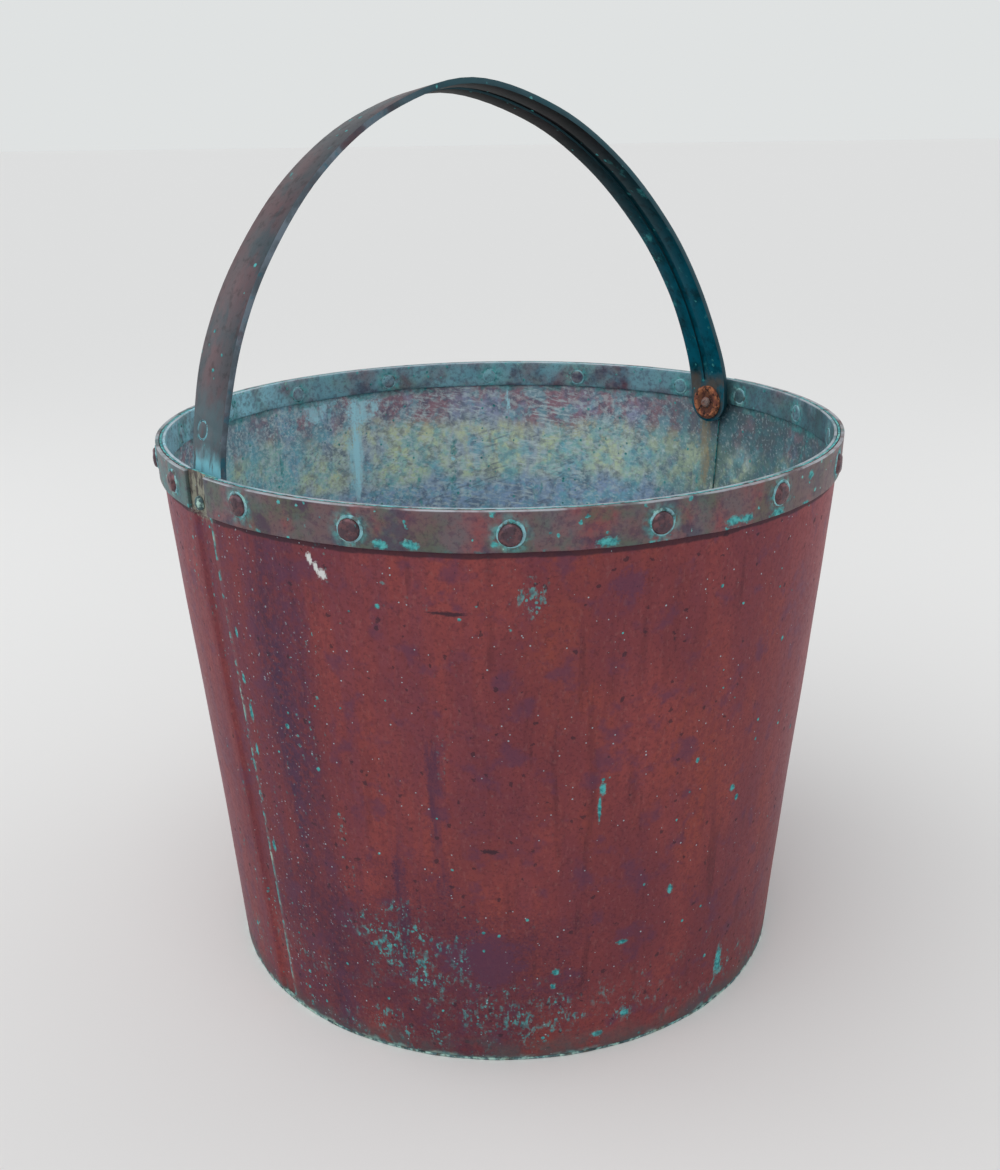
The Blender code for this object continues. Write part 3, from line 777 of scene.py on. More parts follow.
        # the bottom of the wall made darker grey-blue in patches
        darker_foot = tide(-0.01, 0.012, 0.016, 0.006) * patches(60.0, 0.44, 0.12, shift=1.0) * 0.65
        lay(darker_foot, self.darker_foot, 0.3, 0.7)
        strip = spot(-50.4, 0.3385, 0.0220, 0.0170, 0.15)
        lay(strip * 0.95, self.gap_dirt, 0.1, 0.8)
        lay(strip * patches(260.0, 0.52, 0.05, stretch=0.35, shift=2.0) * 0.75, self.dark, 0.1, 0.8)
        foot = tide(-0.01, 0.0032, 0.003, 0.0026, scale=110.0) * patches(45.0, 0.46, 0.1) * 0.6
        coat.crust(line * broken * 0.85 | foot, 0.42)
        fine = coat.specks(270.0, 0.125, 0.36, ragged=0.2) * 0.85
        dusted = coat.specks(420.0, 0.24, 0.30, shift=5.0, ragged=0.8) * ramp(seam, 0.085, 0.02)
        lay(fine | dusted * ramp(seam, 0.0, 0.003) * 0.6, self.frost, 0.0, 0.8)
        scrape = spot(-26.5, 0.3170, 0.0022, 0.0036, 0.6) | spot(-24.6, 0.3092, 0.0034, 0.0032, 0.6)
        lay(scrape | spot(-25.5, 0.3125, 0.0018, 0.0034, 0.6), self.chalk, 0.0, 0.8)


@dataclass(frozen=True)
class InsideCopper:
    """The inside of the wall: blotched turquoise, grey-green, ochre green, violet and maroon.

    Each drip is its azimuth, height, half width, half height and share.
    """

    grey: tuple = tint(184, 212, 218)
    teal: tuple = tint(126, 206, 220)
    ochre: tuple = tint(230, 238, 192)
    violet: tuple = tint(170, 190, 224)
    maroon: tuple = tint(178, 136, 148)
    dark: tuple = tint(104, 116, 138)
    scratch: tuple = tint(224, 236, 236)
    rust: tuple = tint(182, 150, 108)
    cyan: tuple = tint(190, 244, 255)
    shade: tuple = tint(66, 112, 116)
    drips: tuple = (
        (-145.6, 0.286, 0.0080, 0.046, 0.50), (-145.7, 0.278, 0.0034, 0.042, 0.85),
        (-148.0, 0.318, 0.0160, 0.010, 0.60), (-137.0, 0.322, 0.0180, 0.009, 0.55),
        (179.5, 0.318, 0.0024, 0.016, 0.70), (-168.0, 0.273, 0.0034, 0.0024, 0.80),
    )
    stains: tuple = ((132.6, 0.292, 0.0072, 0.040), (-155.9, 0.283, 0.0026, 0.0030))

    def build(self) -> bpy.types.Material:
        """Build the material."""
        coat = Coat("wall_patina_inside", self.grey, 0.3, 0.55)
        lay, crust, patches, tide, scratches = coat.lay, coat.crust, coat.patches, coat.tide, coat.scratches
        lay(patches(14.0, 0.5, 0.10, shift=2.0), self.teal)
        lay(tide(0.296, 0.345, 0.020, 0.012, scale=22.0) * patches(12.0, 0.34, 0.1), self.maroon, 0.4)
        green = tide(0.256, 0.302, 0.014, 0.012, scale=20.0) * patches(30.0, 0.42, 0.12, shift=3.0)
        lay(green * 0.85, self.ochre, 0.1, 0.65)
        lay(tide(0.225, 0.258, 0.016, 0.010, scale=24.0) * 0.8, self.violet, 0.4)
        lay(tide(-0.05, 0.225, 0.030, 0.020) * 0.75, self.dark, 0.4)
        lay(patches(40.0, 0.58, 0.07, stretch=0.5, shift=7.0) * 0.7, self.violet)
        lay(patches(130.0, 0.54, 0.08, detail=8.0) * 0.6, self.dark)
        lay(patches(75.0, 0.54, 0.06, shift=9.0) * 0.55, self.teal, 0.1, 0.7)
        lay(coat.beside(0.09, 0.17) * patches(40.0, 0.38, 0.14, shift=6.0) * 0.8, self.shade)
        lay(coat.beside(-0.09, -0.17) * patches(40.0, 0.50, 0.10, shift=1.0) * 0.5, self.teal)
        facing = coat.beside(0.16, 0.08)
        lay(scratches(82.0, 0.57, 1.0) * patches(30.0, 0.46, 0.14) * facing * 0.75, self.scratch)
        lay(scratches(64.0, 0.61, 4.0) * 0.4, self.scratch)
        lay(scratches(-74.0, 0.58, 7.0) * patches(34.0, 0.5, 0.14, shift=2.0) * 0.6, self.dark)
        lay(patches(240.0, 0.57, 0.06, shift=5.0, detail=7.0) * facing * 0.5, self.scratch)
        lay(patches(300.0, 0.55, 0.08, shift=6.0, detail=7.0) * 0.20, self.dark)
        crust(patches(60.0, 0.64, 0.05, stretch=0.3, shift=4.0) * patches(240.0, 0.5, 0.1) * 0.8, 0.2)
        crust(coat.specks(200.0, 0.22, 0.30, shift=1.0), 0.4, 0.5)
        for *place, share in self.drips:
            ragged = patches(170.0, 0.62 - 0.3 * share, 0.09, stretch=0.5, shift=8.0)
            lay(coat.spot(*place, 0.7) * ragged * (share + 0.15), self.cyan, 0.0, 0.75)
        for place in self.stains:
            faded = patches(120.0, 0.42, 0.14, stretch=0.3, shift=2.0)
            lay(coat.spot(*place, 0.8) * faded * 0.55, self.rust, 0.1, 0.8)
        crust(tide(0.326, 0.333, 0.002, 0.002) * patches(70.0, 0.5, 0.08) * 0.6, 0.35)
        return coat.finish(relief=0.0003, strength=0.4, grain=0.6)


@dataclass(frozen=True)
class HoopCopper:
    """A hoop's copper: brown-red, with olive and purple clouds and turquoise round the rivets.

    Each blob on the outer hoop's lower edge is its azimuth, height and half width.
    """

    brown: tuple = tint(116, 92, 95)
    red: tuple = tint(140, 80, 84)
    olive: tuple = tint(92, 102, 88)
    purple: tuple = tint(82, 62, 82)
    teal: tuple = tint(74, 122, 130)
    film: tuple = tint(82, 126, 128)
    # painted shade: the darker tint of the hoop's right side
    right: tuple = tint(110, 88, 88)
    # painted highlight: pale bluish white for the hoops' top edge
    top_highlight: tuple = tint(190, 196, 204)
    black: tuple = tint(50, 44, 52)
    blobs: tuple = (
        (-14.9, 0.3300, 0.0050), (-10.7, 0.3305, 0.0055), (15.8, 0.3305, 0.0065), (35.7, 0.3315, 0.0060),
        (38.3, 0.3310, 0.0050), (45.2, 0.3290, 0.0060), (54.1, 0.3430, 0.0040),
    )

    def build(self, name: str, teal_share: float, blobs: bool) -> bpy.types.Material:
        """Build the material.

        Args:
            name: The material's name.
            teal_share: How much of the hoop a turquoise film covers.
            blobs: Whether the blobs of the outer hoop's lower edge are laid.

        Returns:
            The finished material.
        """
        coat = Coat(name, self.brown, 0.65, 0.45)
        lay, crust, patches, tide = coat.lay, coat.crust, coat.patches, coat.tide
        lay(patches(26.0, 0.52, 0.07, shift=1.0), self.red)
        lay(patches(30.0, 0.53, 0.08, shift=4.0) * 0.8, self.olive, rough=0.5)
        lay(patches(55.0, 0.58, 0.07, shift=6.0) * 0.8, self.purple)
        lay(patches(34.0, 0.5, 0.12, shift=8.0) * teal_share, self.teal, 0.3, 0.6)
        film = coat.beside(-0.135, -0.185) * patches(60.0, 0.44, 0.12, shift=5.0) * 0.7
        lay(film, self.film, 0.3, 0.6)
        # painted shade: the hoop's right side darkened
        lay(coat.beside(0.10, 0.18) * patches(30.0, 0.42, 0.12, shift=3.0) * 0.7, self.right)
        lay(patches(280.0, 0.56, 0.08) * 0.45, self.purple, rough=0.55)
        lay(patches(560.0, 0.60, 0.06, shift=2.0, detail=3.0) * 0.25, self.black, rough=0.6)
        halo = coat.board.out("ShaderNodeAttribute", port="Fac", attribute_name="halo")
        crust(halo * patches(230.0, 0.48, 0.12, detail=7.0) * 0.9, 0.35, 0.7)
        crust(coat.specks(210.0, 0.24, 0.34, ragged=0.8), 0.4, 0.5)
        crust(coat.specks(70.0, 0.14, 0.24, shift=3.0), 0.15, 0.9)
        low = WALL.height - 0.022
        line = tide(low - 0.003, low + 0.0016, 0.0012, 0.0010) * patches(60.0, 0.60, 0.05, shift=2.0)
        crust(line, 0.25, 0.5)
        for azimuth, height, wide in self.blobs if blobs else ():
            crust(coat.spot(azimuth, height, wide, 0.0028, out=0.0025), 0.1, 1.0)
        high = WALL.height
        # painted highlight: the hoop's top edge lightened to a pale bluish white
        top = tide(high - 0.0006, high + 0.01, 0.0006, 0.0002) * patches(40.0, 0.46, 0.1)
        lay(top * 0.65, self.top_highlight, 0.6, 0.4)
        return coat.finish(relief=0.0004, strength=0.5, grain=0.7)


@dataclass(frozen=True)
class RivetCopper:
    """A rivet's copper: dark, hammered, with turquoise in its hollows."""

    dark: tuple = tint(86, 68, 76)
    red: tuple = tint(112, 80, 84)
    black: tuple = tint(54, 46, 52)

    def build(self) -> bpy.types.Material:
        """Build the material."""
        coat = Coat("rivet_copper_hammered", self.dark, 0.75, 0.36)
        coat.lay(coat.patches(190.0, 0.52, 0.08), self.red, rough=0.4)
        coat.lay(coat.patches(320.0, 0.58, 0.06, shift=3.0) * 0.6, self.black, rough=0.6)
        coat.crust(coat.patches(240.0, 0.66, 0.05, shift=5.0) * 0.4, 0.3, 0.3)
        return coat.finish(relief=0.0005, strength=0.6, grain=0.9)


@dataclass(frozen=True)
class Verdigris:
    """Solid verdigris, as it grows round a rivet or along the foot."""

    dark: tuple = tint(52, 72, 74)
    brown: tuple = tint(84, 70, 58)
    frost: tuple = tint(158, 204, 216)

    def build(self, name: str, chalk: float, bare: float, frosted: float = 0.0) -> bpy.types.Material:
        """Build the material.

        Args:
            name: The material's name.
            chalk: How pale it is.
            bare: How much dark metal shows between it.
            frosted: How much of it is pale blue.

        Returns:
            The finished material.
        """
        coat = Coat(name, self.dark, 0.2, 0.8)
        coat.crust(coat.patches(210.0, bare, 0.08, detail=7.0), chalk, 0.8)
        coat.lay(coat.patches(170.0, 0.46, 0.10, shift=9.0) * frosted, self.frost, 0.0, 0.8)
        coat.lay(coat.patches(150.0, 0.60, 0.06, shift=4.0) * 0.8, self.brown, 0.1, 0.85)
        return coat.finish(relief=0.0004, strength=0.7, grain=0.8)


@dataclass(frozen=True)
class BailCopper:
    """The bail's copper: maroon and grey-green outside, blue-green inside."""

    maroon: tuple = tint(88, 60, 66)
    grey: tuple = tint(62, 72, 78)
    teal: tuple = tint(0, 104, 124)
    deep: tuple = tint(0, 62, 72)
    # near black: dark mottling outside, and painted shade on the inner face
    black: tuple = tint(8, 10, 11)
    rust: tuple = tint(112, 92, 78)
    # painted highlight: pale blue-grey for the strap's worn edges
    edge: tuple = tint(112, 124, 136)
    foot: tuple = tint(66, 98, 106)
    frost: tuple = tint(132, 206, 220)

    def outside(self) -> bpy.types.Material:
        """Build the outer face's material."""
        coat = Coat("bail_outside", self.maroon, 0.55, 0.42)
        lay, crust, patches, tide = coat.lay, coat.crust, coat.patches, coat.tide
        lay(patches(18.0, 0.52, 0.12, stretch=0.4) * 0.8, self.grey, 0.4, 0.5)
        lay(patches(60.0, 0.60, 0.08, shift=3.0, stretch=0.3) * 0.55, self.deep)
        lay(patches(200.0, 0.58, 0.08) * 0.35, self.black, rough=0.6)
        crust(coat.specks(170.0, 0.22, 0.24), 0.3, 0.6)
        crust(patches(48.0, 0.66, 0.04, shift=6.0) * patches(220.0, 0.5, 0.1) * 0.8, 0.25, 0.6)
        foot = tide(0.30, 0.392, 0.034, 0.010) * patches(60.0, 0.42, 0.12, shift=2.0, stretch=0.5)
        lay(foot * 0.75, self.foot, 0.2, 0.6)
        streaks = tide(0.30, 0.356, 0.014, 0.006) * patches(150.0, 0.44, 0.08, shift=2.0, stretch=0.3)
        lay(streaks * 0.85, self.frost, 0.0, 0.8)
        lay(self.plug_ring(coat) * patches(300.0, 0.46, 0.08) * 0.8, self.frost, 0.1, 0.7)
        coat.dull(0.35)
        return coat.finish(relief=0.0004, strength=0.5, grain=0.7)

    def plug_ring(self, coat: Coat) -> Signal:
        """Give a mask of the thin ring round the flush rivet."""
        low, high = (Vector(corner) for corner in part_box("bail_plug_rivet"))
        away = coat.board.vector("SUBTRACT", coat.where, (low + high) / 2.0)
        distance = coat.board.vector("LENGTH", away)
        radius = (high.z - low.z) / 2.0
        inner = coat.board.ramp(distance, radius - 0.0007, radius - 0.0002)
        return inner * coat.board.ramp(distance, radius + 0.0009, radius + 0.0003)

    def inside(self) -> bpy.types.Material:
        """Build the inner face's material: near-black painted shade, darkest at the crown, and blue-green
        patina down the right leg.
        """
        # painted shade: the strap's inner face starts near black
        coat = Coat("bail_inside", self.black, 0.0, 0.55)
        coat.dull(0.1)
        lay, patches, ramp = coat.lay, coat.patches, coat.board.ramp
        height = coat.board.along(coat.where, 2)
        low = ramp(height, 0.530, 0.460)
        lay(patches(30.0, 0.55, 0.1) * 0.12, self.maroon)
        lay(low * patches(24.0, 0.30, 0.12, shift=5.0), self.deep, 0.2, 0.5)
        lay(ramp(height, 0.480, 0.400) * patches(45.0, 0.42, 0.12, shift=2.0), self.teal, 0.2, 0.5)
        lay(patches(180.0, 0.58, 0.08) * 0.4, self.black, rough=0.6)
        stain = coat.tide(0.320, 0.352, 0.016, 0.008, scale=90.0) * patches(110.0, 0.44, 0.12, stretch=0.4)
        lay(stain * 0.75, self.rust, 0.2, 0.75)
        coat.crust(coat.specks(190.0, 0.22, 0.22), 0.2, 0.5)
        coat.crust(patches(70.0, 0.63, 0.05, shift=8.0) * low * 0.7, 0.15, 0.5)
        return coat.finish(relief=0.0004, strength=0.5, grain=0.7)

    def edges(self) -> bpy.types.Material:
        """Build the edges' material: wear and a pale blue-grey painted highlight, bluer towards the bail's
        right end.
        """
        coat = Coat("bail_edge", self.edge, 0.6, 0.4)
        coat.lay(coat.patches(60.0, 0.54, 0.10) * 0.7, self.grey, 0.4, 0.5)
        coat.lay(coat.patches(110.0, 0.60, 0.07, shift=4.0) * 0.7, self.teal, 0.3, 0.6)
        coat.lay(coat.patches(36.0, 0.58, 0.06, shift=7.0) * 0.8, self.maroon, 0.6)
        across = coat.board.vector("DOT_PRODUCT", coat.where, HINGE.axis)
        coat.lay(coat.board.ramp(across, -0.12, -0.03) * 0.9, self.deep, 0.4, 0.45)
        coat.crust(coat.specks(150.0, 0.24, 0.2), 0.3, 0.5)
        return coat.finish(relief=0.0003, strength=0.4, grain=0.6)


@dataclass(frozen=True)
class RustyIron:
    """Rusted iron, from orange crust to dark red pits."""

    orange: tuple = tint(190, 118, 80)
    red: tuple = tint(140, 82, 64)
    dark: tuple = tint(58, 36, 34)
    grey: tuple = tint(150, 130, 124)

    def bowl(self, coat: Coat) -> Signal:
        """Give a mask of the washers' hollow, between the rivet's end and the raised lip."""
        away = coat.board.vector("SUBTRACT", coat.where, HINGE.middle)
        distance = coat.board.vector("LENGTH", coat.board.vector("CROSS_PRODUCT", away, HINGE.axis))
        return coat.board.ramp(distance, 0.0092, 0.0070)

    def build(self, name: str, worn: float) -> bpy.types.Material:
        """Build the material.

        Args:
            name: The material's name.
            worn: How much dull bare metal shows, 0 to 1.

        Returns:
            The finished material.
        """
        coat = Coat(name, self.red, 0.15, 0.85)
        coat.lay(coat.patches(230.0, 0.50, 0.07, detail=8.0), self.orange, 0.0, 0.9, 0.6)
        coat.lay(coat.patches(330.0, 0.58, 0.06, shift=3.0, detail=8.0), self.dark, 0.2, 0.8, -0.7)
        if worn:
            coat.lay(coat.patches(260.0, 0.42, 0.08, shift=6.0) * worn, self.grey, 0.4, 0.55)
        else:
            coat.lay(self.bowl(coat) * 0.6, self.dark, 0.2, 0.8)
        return coat.finish(relief=0.0006, strength=0.8, grain=1.0)


@dataclass
class Finishes:
    """All finishes of the bucket, built once."""

    def __post_init__(self) -> None:
        """Build the effects and the materials."""
        Effects().build()
        bail, iron, crust = BailCopper(), RustyIron(), Verdigris()
        self.wall_outside = OutsideCopper().build()
        self.wall_inside = InsideCopper().build()
        self.wall_edge = crust.build("wall_cut_edge", 0.35, 0.42)
        self.hoop_outside = HoopCopper().build("hoop_copper_outside", 0.25, True)
        self.hoop_inside = HoopCopper(
            brown=tint(142, 138, 148), red=tint(124, 92, 104), olive=tint(136, 164, 158),
            purple=tint(88, 84, 108), teal=tint(130, 196, 210), film=tint(172, 232, 246),
            # painted shade on the inner hoop's right side
            right=tint(68, 112, 120),
        ).build("hoop_copper_inside", 0.70, False)
        self.rivet = RivetCopper().build()
        self.ring = crust.build("rivet_verdigris", 0.40, 0.46, 0.65)
        self.foot = crust.build("foot_verdigris", 0.62, 0.50, 0.20)
        self.crusted_iron = crust.build("crusted_iron", 0.60, 0.52, 0.10)
        self.bail_outside = bail.outside()
        self.bail_inside = bail.inside()
        self.bail_edge = bail.edges()
        self.rust = iron.build("rusty_iron", 0.0)
        self.iron = iron.build("worn_iron", 0.95)


@dataclass
class WallSheet:
    """One of the two bent wall sheets, with its lapped edges and slight dents."""

    name: str
    node: str
    is_front: bool
    rows: int = 44
    run: int = 118
    dent: float = 0.0011
    round_over: float = 0.0003
    calm: float = 9.0
    full: float = 20.0

    def columns(self, height: float) -> list[tuple[float, float]]:
        """Give the azimuth and the inset of each column at a height.

        Args:
            height: The height.

        Returns:
            One pair for each column.
        """
        share = height / WALL.height
        left = SEAMS.left(share)
        if self.is_front:
            return [(azimuth, 0.0) for azimuth in spread(left, SEAMS.right_edge, self.run)]
        step = SEAMS.step
        shares = [0.25, 0.5, 0.75]
        inner = SEAMS.right_edge + SEAMS.right_channel
        outer = 360.0 + left - SEAMS.channel(share)
        columns = [(azimuth, step) for azimuth in spread(SEAMS.right_edge - SEAMS.right_lap, inner, 4)]
        columns += [(inner + SEAMS.joggle * s, step * (1.0 - ease(s, 0.0, 1.0))) for s in shares]
        columns += [(azimuth, 0.0) for azimuth in spread(inner + SEAMS.joggle, outer, self.run)]
        columns += [(outer + SEAMS.joggle * s, step * ease(s, 0.0, 1.0)) for s in shares]
        lap_end = 360.0 + left + SEAMS.left_lap
        columns += [(azimuth, step) for azimuth in spread(outer + SEAMS.joggle, lap_end, 4)]
        return columns

    def dented(self, azimuth: float, height: float, first: float, last: float) -> float:
        """Give how far the sheet stands out or in at a place, none at its edges and laps."""
        hold = ease(height, 0.006, 0.05) * ease(height, WALL.hoop_zone - 0.004, WALL.hoop_zone - 0.045)
        hold *= ease(azimuth, first + self.calm, first + self.full)
        hold *= ease(azimuth, last - self.calm, last - self.full)
        at = on_circle(azimuth, WALL.base_radius, height)
        wide = noise.noise(Vector((at.x * 11.0, at.y * 11.0, at.z * 5.0)))
        small = noise.noise(Vector((at.x * 34.0, at.y * 34.0, at.z * 16.0 + 7.0)))
        return self.dent * hold * (wide + 0.30 * small)

    def build(self, finishes: Finishes) -> None:
        """Bend the sheet, give it its thickness and dress it."""
        heights = spread(WALL.foot, WALL.hoop_zone, self.rows) + spread(WALL.hoop_zone, WALL.height, 4)[1:]
        steps = len(self.columns(0.0)) - 1
        item = profile(self.name, [on_circle(0.0, WALL.top_radius, z) for z in heights], False)
        spin(item, steps, 180.0)
        rows = {round(z, 5): z for z in heights}
        for vertex in item.data.vertices:
            z = rows[round(vertex.co.z, 5)]
            column = round(abs(azimuth_of(vertex.co)) / 180.0 * steps)
            columns = self.columns(z)
            azimuth, inset = columns[column]
            out = self.dented(azimuth, z, columns[0][0], columns[-1][0])
            vertex.co = on_circle(azimuth, WALL.radius(z) - inset + out, z)
        item.data.update()
        face = item.data.polygons[len(item.data.polygons) // 2]
        if face.normal.dot(Vector((face.center.x, face.center.y, 0.0))) < 0.0:
            open_all(item)
            bpy.ops.mesh.flip_normals()
            close(item)
        for material in (finishes.wall_outside, finishes.wall_inside, finishes.wall_edge):
            item.data.materials.append(material)
        shape_with(
            item, "SOLIDIFY", thickness=WALL.sheet, offset=-1.0, use_even_offset=True,
            material_offset=1, material_offset_rim=2,
        )
        bevel(item, self.round_over, 55.0)
        smooth(item)
        place(item, [self.node], "wall_copper")


@dataclass
class Hoop:
    """One half hoop of the rim, a little uneven along its edges."""

    name: str
    node: str
    start: float
    end: float
    offset: float
    thickness: float
    depth: float
    rivets: Sequence[tuple[float, float]]
    ripple: float = 0.0004
    ripple_limit: float = 0.00012
    halo: float = 0.0125
    halo_core: float = 0.0055
    corner: float = 0.0005
    round_over: float = 0.0003
    step: float = 0.8

    def outline(self) -> list[Vector]:
        """Give the hoop's section, with rounded corners."""
        inner = self.offset
        outer = self.offset + self.thickness
        low = WALL.height - self.depth
        high = WALL.height
        turn = self.corner
        corners = ((outer, low, -90.0), (outer, high, 0.0), (inner, high, 90.0), (inner, low, 180.0))
        points = []
        for index, (side, level, first) in enumerate(corners):
            centre_side = side - turn if side == outer else side + turn
            centre_level = level + turn if level == low else level - turn
            for angle in (first, first + 30.0, first + 60.0, first + 90.0):
                radius = centre_side + turn * math.cos(math.radians(angle))
                height = centre_level + turn * math.sin(math.radians(angle))
                points.append((radius, height))
            levels = spread(low + turn, high - turn, 9)[1:-1]
            if index == 0:
                points += [(side, z) for z in levels]
            elif index == 2:
                points += [(side, z) for z in levels[::-1]]
        return [on_circle(self.start, WALL.radius(z) + radius, z) for radius, z in points]

    def uneven(self, item: bpy.types.Object) -> None:
        """Ripple the hoop's lower edge and its faces."""
        low = WALL.height - self.depth
        for vertex in item.data.vertices:
            at = vertex.co
            azimuth = math.radians(azimuth_of(at))
            along = Vector((math.cos(azimuth) * 5.0, math.sin(azimuth) * 5.0, self.offset * 900.0))
            share = ease(at.z, WALL.height - 0.3 * self.depth, low)
            at.z += self.ripple * share * (noise.noise(along) + 0.6 * noise.noise(along * 3.1))
            outward = Vector((at.x, at.y, 0.0)).normalized()
            ripple = 0.4 * self.ripple * noise.noise(Vector((at.x * 45.0, at.y * 45.0, at.z * 60.0)))
            vertex.co = at + outward * min(max(ripple, -self.ripple_limit), self.ripple_limit)

    def halos(self, item: bpy.types.Object) -> None:
        """Mark how close each place is to a rivet or to the hoop's end."""
        values = []
        for vertex in item.data.vertices:
            azimuth = azimuth_of(vertex.co)
            near = 1.0
            for at, height in self.rivets:
                turn = (azimuth - at + 180.0) % 360.0 - 180.0
                across = math.radians(turn) * WALL.top_radius
                near = min(near, math.hypot(across, vertex.co.z - height))
            values.append(ease(near, self.halo, self.halo_core))
        marks = item.data.attributes.new("halo", "FLOAT", "POINT")
        marks.data.foreach_set("value", values)

    def build(self, finish: bpy.types.Material) -> None:
        """Roll the hoop and dress it."""
        item = profile(self.name, self.outline(), True)
        spin(item, round((self.end - self.start) / self.step), self.end - self.start)
        open_all(item)
        bpy.ops.mesh.remove_doubles(threshold=WELD)
        bpy.ops.mesh.select_all(action="SELECT")
        bpy.ops.mesh.fill_holes(sides=0)
        bpy.ops.mesh.select_all(action="SELECT")
        bpy.ops.mesh.normals_make_consistent(inside=False)
        close(item)
        self.uneven(item)
        bevel(item, self.round_over, 60.0)
        self.halos(item)
        item.data.materials.append(finish)
        smooth(item)
        place(item, [self.node], "band_copper")


@dataclass
class Rivets:
    """The eighteen rivets of the rim: one modelled head and tail, copied and hammered."""

    head_radius: float = 0.0062
    head_rise: float = 0.0034
    tail_radius: float = 0.0050
    tail_rise: float = 0.0008
    outer_hoop: float = 0.0022
    inner_hoop: float = 0.0018
    ring_thick: float = 0.0010
    lip_thick: float = 0.0007
    hammer_depth: float = 0.0009
    hammer_size: float = 0.0045

    def stack(self) -> float:
        """Give the thickness of all that a rivet clamps."""
        return self.outer_hoop + self.inner_hoop + WALL.sheet + 2.0 * WALL.gap

    def places(self, side: str) -> list[tuple[str, float, float]]:
        """Give the solid, azimuth and height of each rivet of one half, from the solids' boxes."""
        nodes = [f"rivet_{side}_{i}" for i in range(1, 10)]
        middles = [sum(map(Vector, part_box(node)), Vector()) / 2.0 for node in nodes]
        return [(node, azimuth_of(middle), middle.z) for node, middle in zip(nodes, middles)]

    def matrix(self, azimuth: float, height: float) -> Matrix:
        """Give the frame on the outer hoop's face with its Z axis pointing out."""
        turn = Matrix.Rotation(math.radians(azimuth - 90.0), 4, "Z")
        lay = Matrix.Rotation(math.pi / 2.0 + math.atan(WALL.rim_slope()), 4, "Y")
        spot = on_circle(azimuth, WALL.radius(height) + WALL.gap + self.outer_hoop, height)
        return Matrix.Translation(spot) @ turn @ lay

    def dome(self, name: str, radius: float, rise: float, flat: float) -> bpy.types.Object:
        """Model a dome on the XY plane with a flattened top.

        Args:
            name: The new object's name.
            radius: The dome's radius.
            rise: Its height.
            flat: Share of the height above which it is flattened.

        Returns:
            The new object.
        """
        clear_selection()
        bpy.ops.mesh.primitive_uv_sphere_add(segments=32, ring_count=16, radius=1.0)
        item = name_new(name)
        open_all(item)
        bpy.ops.mesh.bisect(plane_co=(0.0, 0.0, 0.0), plane_no=(0.0, 0.0, 1.0), use_fill=True, clear_inner=True)
        bpy.ops.mesh.select_all(action="SELECT")
        bpy.ops.transform.resize(value=(radius, radius, rise), center_override=(0.0, 0.0, 0.0))
        close(item)
        for vertex in item.data.vertices:
            over = vertex.co.z - rise * flat
            if over > 0.0:
                vertex.co.z = rise * flat + over * 0.45
        return item

    def ring(self, name: str, radius: float, thick: float) -> bpy.types.Object:
        """Model the rim of verdigris round a dome."""
        clear_selection()
        bpy.ops.mesh.primitive_torus_add(
            major_segments=40, minor_segments=8, major_radius=radius, minor_radius=thick)
        item = name_new(name)
        open_all(item)
        bpy.ops.transform.resize(value=(1.0, 1.0, 0.55), center_override=(0.0, 0.0, 0.0))
        return close(item)

    def template(self, finishes: Finishes) -> bpy.types.Object:
        """Model the rivet once, lying on the XY plane: head above it and tail below the stack."""
        head = self.dome("rivet_template", self.head_radius, self.head_rise, 0.62)
        tail = self.dome("tail", self.tail_radius, self.tail_rise, 0.55)
        under = Matrix.Translation((0.0, 0.0, -self.stack())) @ Matrix.Rotation(math.pi, 4, "X")
        settle(tail, under)
        ring = self.ring("ring", self.head_radius + 0.0002, self.ring_thick)
        settle(ring, Matrix.Translation((-0.0005, 0.0004, 0.0)))
        lip = self.ring("lip", self.tail_radius + 0.0001, self.lip_thick)
        settle(lip, under)
        clear_selection()
        for item, finish in (
            (head, finishes.rivet), (tail, finishes.hoop_inside), (ring, finishes.ring), (lip, finishes.ring),
        ):
            item.data.materials.append(finish)
            item.select_set(True)
        bpy.context.view_layer.objects.active = head
        bpy.ops.object.join()
        return head

    def build(self, finishes: Finishes) -> None:
        """Copy, place and hammer each rivet."""
        template = self.template(finishes)
        for side in ("front", "back"):
            for node, azimuth, height in self.places(side):
                take(template)
                bpy.ops.object.duplicate(linked=False)
                item = name_new(node.replace("rivet", "hammered_rivet"))
                settle(item, self.matrix(azimuth, height))
                weather(item, self.hammer_depth, self.hammer_size)
                smooth(item, 50.0)
                place(item, [node], "rivet_copper")
        bpy.data.objects.remove(template)


